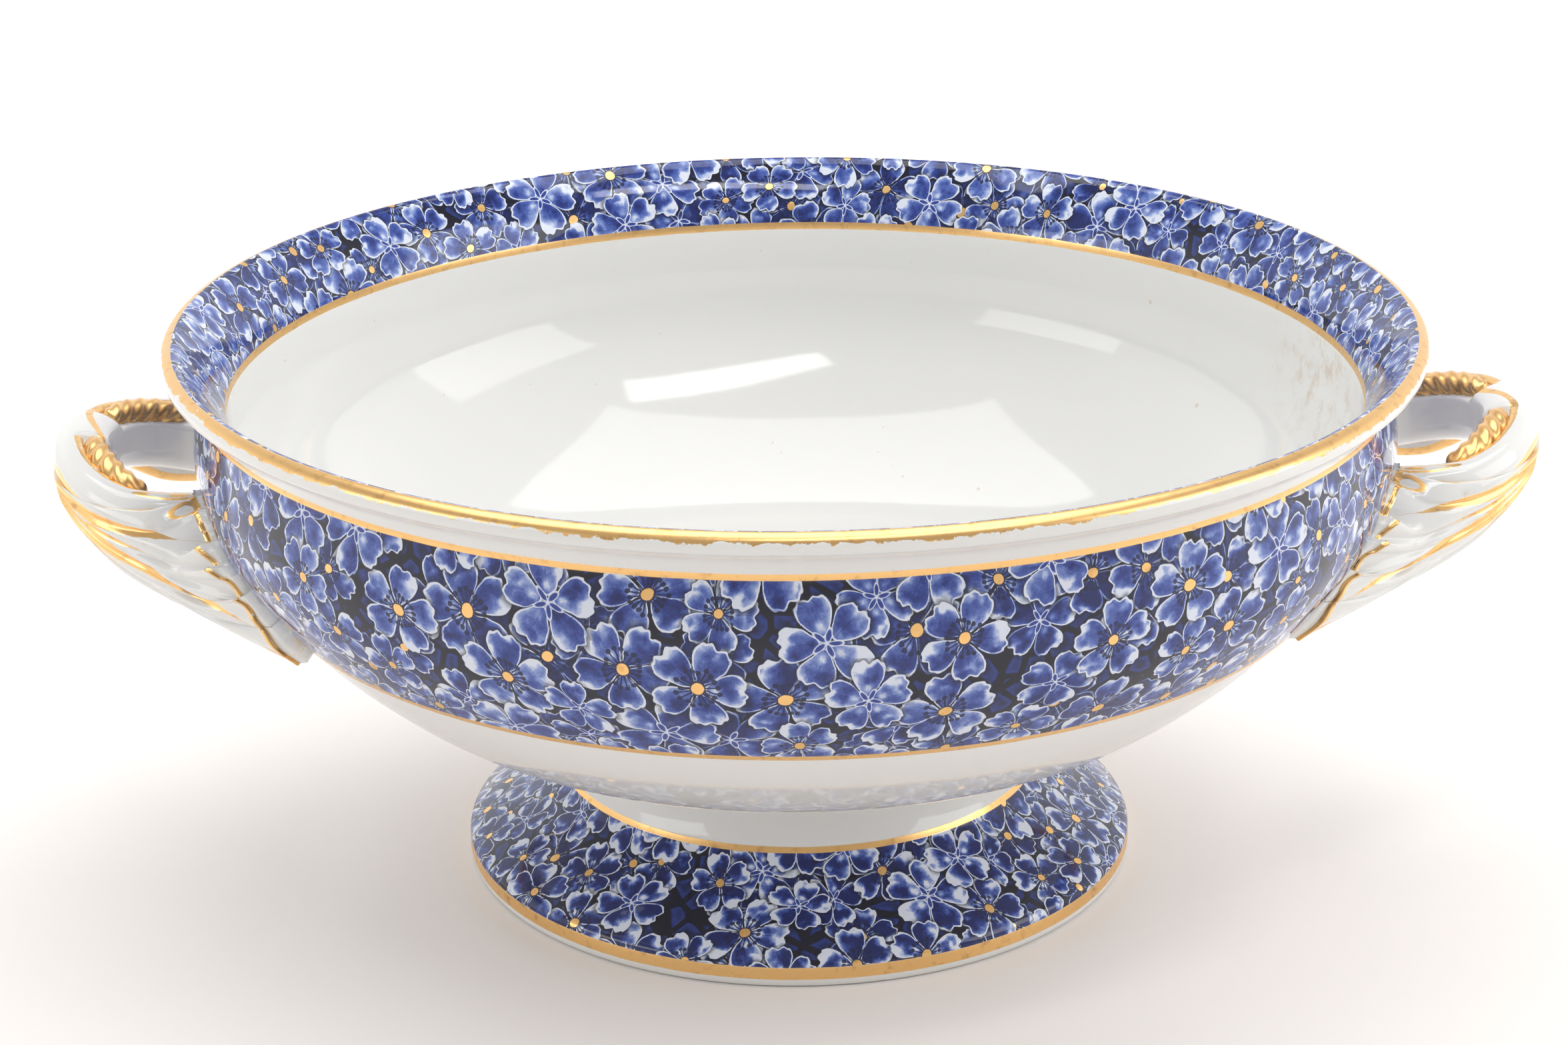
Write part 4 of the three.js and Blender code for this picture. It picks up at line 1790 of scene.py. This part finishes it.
@dataclass(frozen=True)
class StrapGilding:
    """Gilt lines on the strap."""

    collar: float

    def __call__(self, board: Board) -> Term:
        """Works out where the gold lies.

        Args:
            board: The material's board.

        Returns:
            The gold mask.
        """
        out, up, place = board.parts(board.attribute("strap").outputs["Vector"])
        spot = board.object_place()
        waver = board.noise(spot, 220.0, 2.0) - 0.5
        from_apex = (place - 0.5).size()
        on_branch = from_apex.rise(self.collar - 0.002, self.collar + 0.004) * from_apex.rise(0.315, 0.30)
        top = up.rise(-4.4, -3.8)
        crest_line = (out + waver * 0.5).inside(-0.5, 1.35, 0.10) * top * on_branch
        swing = place.rise(0.5 - self.collar - 0.005, 0.5 + self.collar + 0.008) * 5.4 - 0.6
        crossing = (out + swing + waver * 0.6).size().rise(0.95, 0.80) * from_apex.rise(
            self.collar + 0.004, self.collar) * top
        swell = from_apex.bump_at(0.14, 0.09) * 2.6 + 0.45
        channel = ((up + 6.5 + waver * 0.8).size() - swell).rise(0.12, -0.12) * out.rise(3.6, 4.2)
        channel = channel * from_apex.rise(0.33, 0.25)
        curl = (((from_apex - 0.345) / 0.048).squared() + ((out - 2.9) / 1.25).squared()).root()
        curl = curl + waver * 0.25
        ring = (curl - 1.0).size().rise(0.26, 0.14)
        heart = curl.rise(0.66, 0.5) * from_apex.rise(0.335, 0.350)
        curls = ring.most(heart) * up.rise(-3.2, -2.6)
        worn = board.noise(spot, 420.0, 3.0, 0.6).rise(0.30, 0.36)
        return crest_line.most(crossing).most(channel).most(curls) * worn


@dataclass(frozen=True)
class LeafGilding:
    """Gilt veins and edges on the leaves."""

    veins: tuple[LeafVein, ...]

    def __call__(self, board: Board) -> Term:
        """Works out where the gold lies.

        Args:
            board: The material's board.

        Returns:
            The gold mask.
        """
        u, w, inner = board.parts(board.attribute("leaf").outputs["Vector"])
        spot = board.object_place()
        waver = board.noise(spot, 150.0, 3.0, 0.6) - 0.5
        height = u * 29.0 + 6.0
        mask: Any = 0.0
        for vein in self.veins:
            bend = board.math("POWER", (u / vein.reach).least(1.3).most(0.0), 1.2)
            gap = ((w - (bend * (vein.end - vein.start) + vein.start)) * height + waver * 1.3).size()
            half = (1.0 - (u / vein.reach)).most(0.0001)
            half = board.math("POWER", half, 0.8) * vein.width * u.rise(-0.10, 0.16)
            mask = (gap - half).rise(0.10, -0.14).most(mask)
        outer = 1.0 - inner.rise(0.0, 0.02)
        edge = (u + waver * 0.014).inside(0.975, 1.055, 0.003)
        curl = (((u - 0.91) / 0.075).squared() + ((w - 0.055) / 0.035).squared()).root() + waver * 0.3
        mask = mask.most((curl - 1.0).size().rise(0.34, 0.2))
        tip = (w + waver * 0.02).rise(0.955, 0.965) * u.rise(0.90, 0.93) * u.rise(1.06, 1.05)
        small = (w + waver * 0.02).rise(0.972, 0.98) * (u - 0.52).size().rise(0.05, 0.035)
        hem = (inner + waver * 0.05).inside(0.02, 0.46, 0.02) * (u - 0.45).size().rise(0.30, 0.25)
        mask = (mask.most(edge).most(tip).most(small) * outer).most(hem)
        flaw = board.noise(spot, 380.0, 4.0, 0.65).rise(0.29, 0.35)
        return mask * flaw


@dataclass
class Handle:
    """One handle with its leaves, rope twists and slip joints."""

    side: Side
    shape: HandleShape
    rope: NodeModel

    def name(self, text: str) -> str:
        """Name of a CAD node on this side."""
        return f"{self.side.name.lower()}_handle_{text}"

    def branches(self) -> tuple[tuple[str, bool], ...]:
        """Front and back, and whether each is the far branch of the drawn handle."""
        turned = self.side is Side.LEFT
        return ("front", turned), ("back", not turned)

    def build(self, strap_finish: Any, leaf_finish: Any, gold: Any, slip: Any) -> None:
        """Makes and places all the handle's pieces.

        Args:
            strap_finish: Finish of the strap.
            leaf_finish: Finish of the leaves.
            gold: The gold finish.
            slip: The slip finish.
        """
        rings, facts = self.shape.strap(self.side, 0.03, 0.97, 190, 0.0)
        mesh = loft_mesh(self.name("strap"), rings, facts, "strap")
        place_in_frame(as_piece(mesh, strap_finish), self.name("loop"))
        for end, far in self.branches():
            self.build_branch(end, far, leaf_finish, gold, slip)

    def build_branch(self, end: str, far: bool, leaf_finish: Any, gold: Any, slip: Any) -> None:
        """Makes and places the pieces of one branch.

        Args:
            end: front or back.
            far: True for the branch at +Y on the drawn handle.
            leaf_finish: Finish of the leaves.
            gold: The gold finish.
            slip: The slip finish.
        """
        rings, facts = self.shape.leaf(self.side, far)
        mesh = loft_mesh(self.name(f"{end}_acanthus"), rings, facts, "leaf")
        place_in_frame(as_piece(mesh, leaf_finish), self.name(f"{end}_leaf"))
        guide = line_mesh("rope_line", self.shape.rope_line(self.side, far), True)
        turns = self.shape.rope_turns if far else -self.shape.rope_turns
        piece = self.rope.run(
            self.name(f"{end}_rope"), guide, Radius=self.shape.rope_radius * MM, Turns=turns,
            Strands=self.shape.rope_strands, Groove=self.shape.rope_groove, Finish=gold)
        face_outwards(piece.data)
        place_in_frame(piece, self.name(f"{end}_rope_twist"))
        rings, facts = self.shape.slip_collar(self.side, far)
        mesh = loft_mesh(self.name(f"{end}_slip"), rings, facts, "strap")
        place_in_frame(as_piece(mesh, slip), self.name(f"{end}_slip_joint"))


# ------------------------------------------------------------------------------ studio
@dataclass
class Softbox:
    """One square of light: where it is, where it faces, its size in metres and its power."""

    name: str
    place: Point3
    aim: Point3
    size: tuple[float, float]
    power: float


@dataclass
class Studio:
    """Pale floor, soft light and the camera."""

    camera_place: Point3 = (-0.14, -713.3, 348.3)
    pitch: float = 20.75
    yaw: float = 0.21
    roll: float = 0.65
    lens: float = 76.53
    floor_size: float = 8.0
    floor_colour: Colour = (0.93, 0.885, 0.855, 1.0)
    floor_painted_glow: float = 0.42
    room_light: float = 0.50
    wall_light: float = 0.62
    softboxes: tuple[Softbox, ...] = (
        Softbox("overhead", (-0.03, 0.28, 1.30), (-0.03, 0.28, 0.0), (1.40, 0.97), 9.6),
        Softbox("strip", (0.23, -0.47, 1.20), (0.05, -0.1, 0.1), (0.78, 0.14), 2.0),
        Softbox("right", (1.15, -0.29, 0.63), (0.0, 0.0, 0.1), (0.90, 0.80), 4.4),
        Softbox("left", (-1.11, -0.59, 0.44), (0.0, 0.0, 0.1), (0.80, 0.42), 2.2),
    )

    def build(self) -> None:
        """Makes the floor, the world, the lights and the camera."""
        self.build_floor()
        self.build_world()
        for box in self.softboxes:
            self.build_softbox(box)
        self.build_camera()
        bpy.context.scene.view_settings.view_transform = "Standard"

    def build_floor(self) -> None:
        """Makes the pale floor. It glows with painted light, more strongly the further it lies behind and
        beside the bowl.
        """
        half = self.floor_size / 2.0
        mesh = bpy.data.meshes.new("floor")
        mesh.from_pydata([(-half, -half, 0.0), (half, -half, 0.0), (half, half, 0.0), (-half, half, 0.0)], [],
                         [(0, 1, 2, 3)])
        material = bpy.data.materials.new("PaleFloor")
        material.use_nodes = True
        board = Board(material.node_tree)
        shader = material.node_tree.nodes["Principled BSDF"]
        shader.inputs["Base Color"].default_value = self.floor_colour
        shader.inputs["Roughness"].default_value = 0.5
        x, y, _ = board.parts(board.object_place())
        # Painted light: the floor's emission grows away from the bowl, standing in for a brightly lit
        # backdrop, and it also lights the bowl from behind.
        painted_glow_share = ((y + 0.05) * 1.3 + x.size() * 0.55).rise(0.04, 0.50)
        shader.inputs["Emission Color"].default_value = (1.0, 0.995, 0.99, 1.0)
        board.feed(shader.inputs["Emission Strength"], painted_glow_share * self.floor_painted_glow)
        floor = as_piece(mesh, material)

    def build_world(self) -> None:
        """Lights the scene softly from all round."""
        world = bpy.data.worlds.new("SoftRoom")
        world.use_nodes = True
        board = Board(world.node_tree)
        _, y, z = board.parts(world.node_tree.nodes.new("ShaderNodeTexCoord").outputs["Generated"])
        sides = y.rise(-0.75, 0.05) * z.rise(0.75, 0.35)
        back = world.node_tree.nodes["Background"]
        back.inputs["Color"].default_value = (1.0, 1.0, 1.0, 1.0)
        board.feed(back.inputs["Strength"], sides * self.wall_light + self.room_light)
        bpy.context.scene.world = world

    def build_softbox(self, box: Softbox) -> None:
        """Makes one softbox.

        Args:
            box: The softbox.
        """
        light = bpy.data.lights.new(box.name, "AREA")
        light.shape = "RECTANGLE"
        light.size, light.size_y = box.size
        light.energy = box.power
        lamp = bpy.data.objects.new(box.name, light)
        bpy.context.scene.collection.objects.link(lamp)
        lamp.location = box.place
        way = Vector(box.aim) - Vector(box.place)
        lamp.rotation_euler = way.to_track_quat("-Z", "Y").to_euler()

    def build_camera(self) -> None:
        """Makes the camera."""
        pitch, yaw, roll = (math.radians(value) for value in (self.pitch, self.yaw, self.roll))
        right = Vector((math.cos(yaw), math.sin(yaw), 0.0))
        level = Vector((-math.sin(yaw), math.cos(yaw), 0.0))
        forward = level * math.cos(pitch) - Vector((0.0, 0.0, math.sin(pitch)))
        up = level * math.sin(pitch) + Vector((0.0, 0.0, math.cos(pitch)))
        rolled_right = right * math.cos(roll) - up * math.sin(roll)
        rolled_up = right * math.sin(roll) + up * math.cos(roll)
        camera = bpy.data.objects.new("camera", bpy.data.cameras.new("camera"))
        camera.data.lens = self.lens
        camera.data.sensor_width = 36.0
        turn = Matrix((rolled_right, rolled_up, -forward)).transposed()
        camera.matrix_world = Matrix.Translation(Vector(self.camera_place) * MM) @ turn.to_4x4()
        bpy.context.scene.collection.objects.link(camera)
        bpy.context.scene.camera = camera


def main() -> None:
    """Builds the bowl round the frame."""
    logging.basicConfig(level=logging.INFO, format="%(name)s: %(message)s")
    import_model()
    Studio().build()
    blossom = BlossomGroup().build()
    turning = turning_model()
    rope = rope_model()
    gold, slip = gilt_material(), slip_material()
    BowlBody(turning).build(blossom)
    PedestalFoot(turning).build(blossom)
    FootSlipRing(turning).build(slip)
    shape = HandleShape()
    strap_finish = glazed_material("GiltStrap", StrapGilding(shape.collar))
    leaf_finish = glazed_material("GiltLeaf", LeafGilding(shape.veins))
    for side in Side:
        Handle(side, shape, rope).build(strap_finish, leaf_finish, gold, slip)


if __name__ == "__main__":
    main()
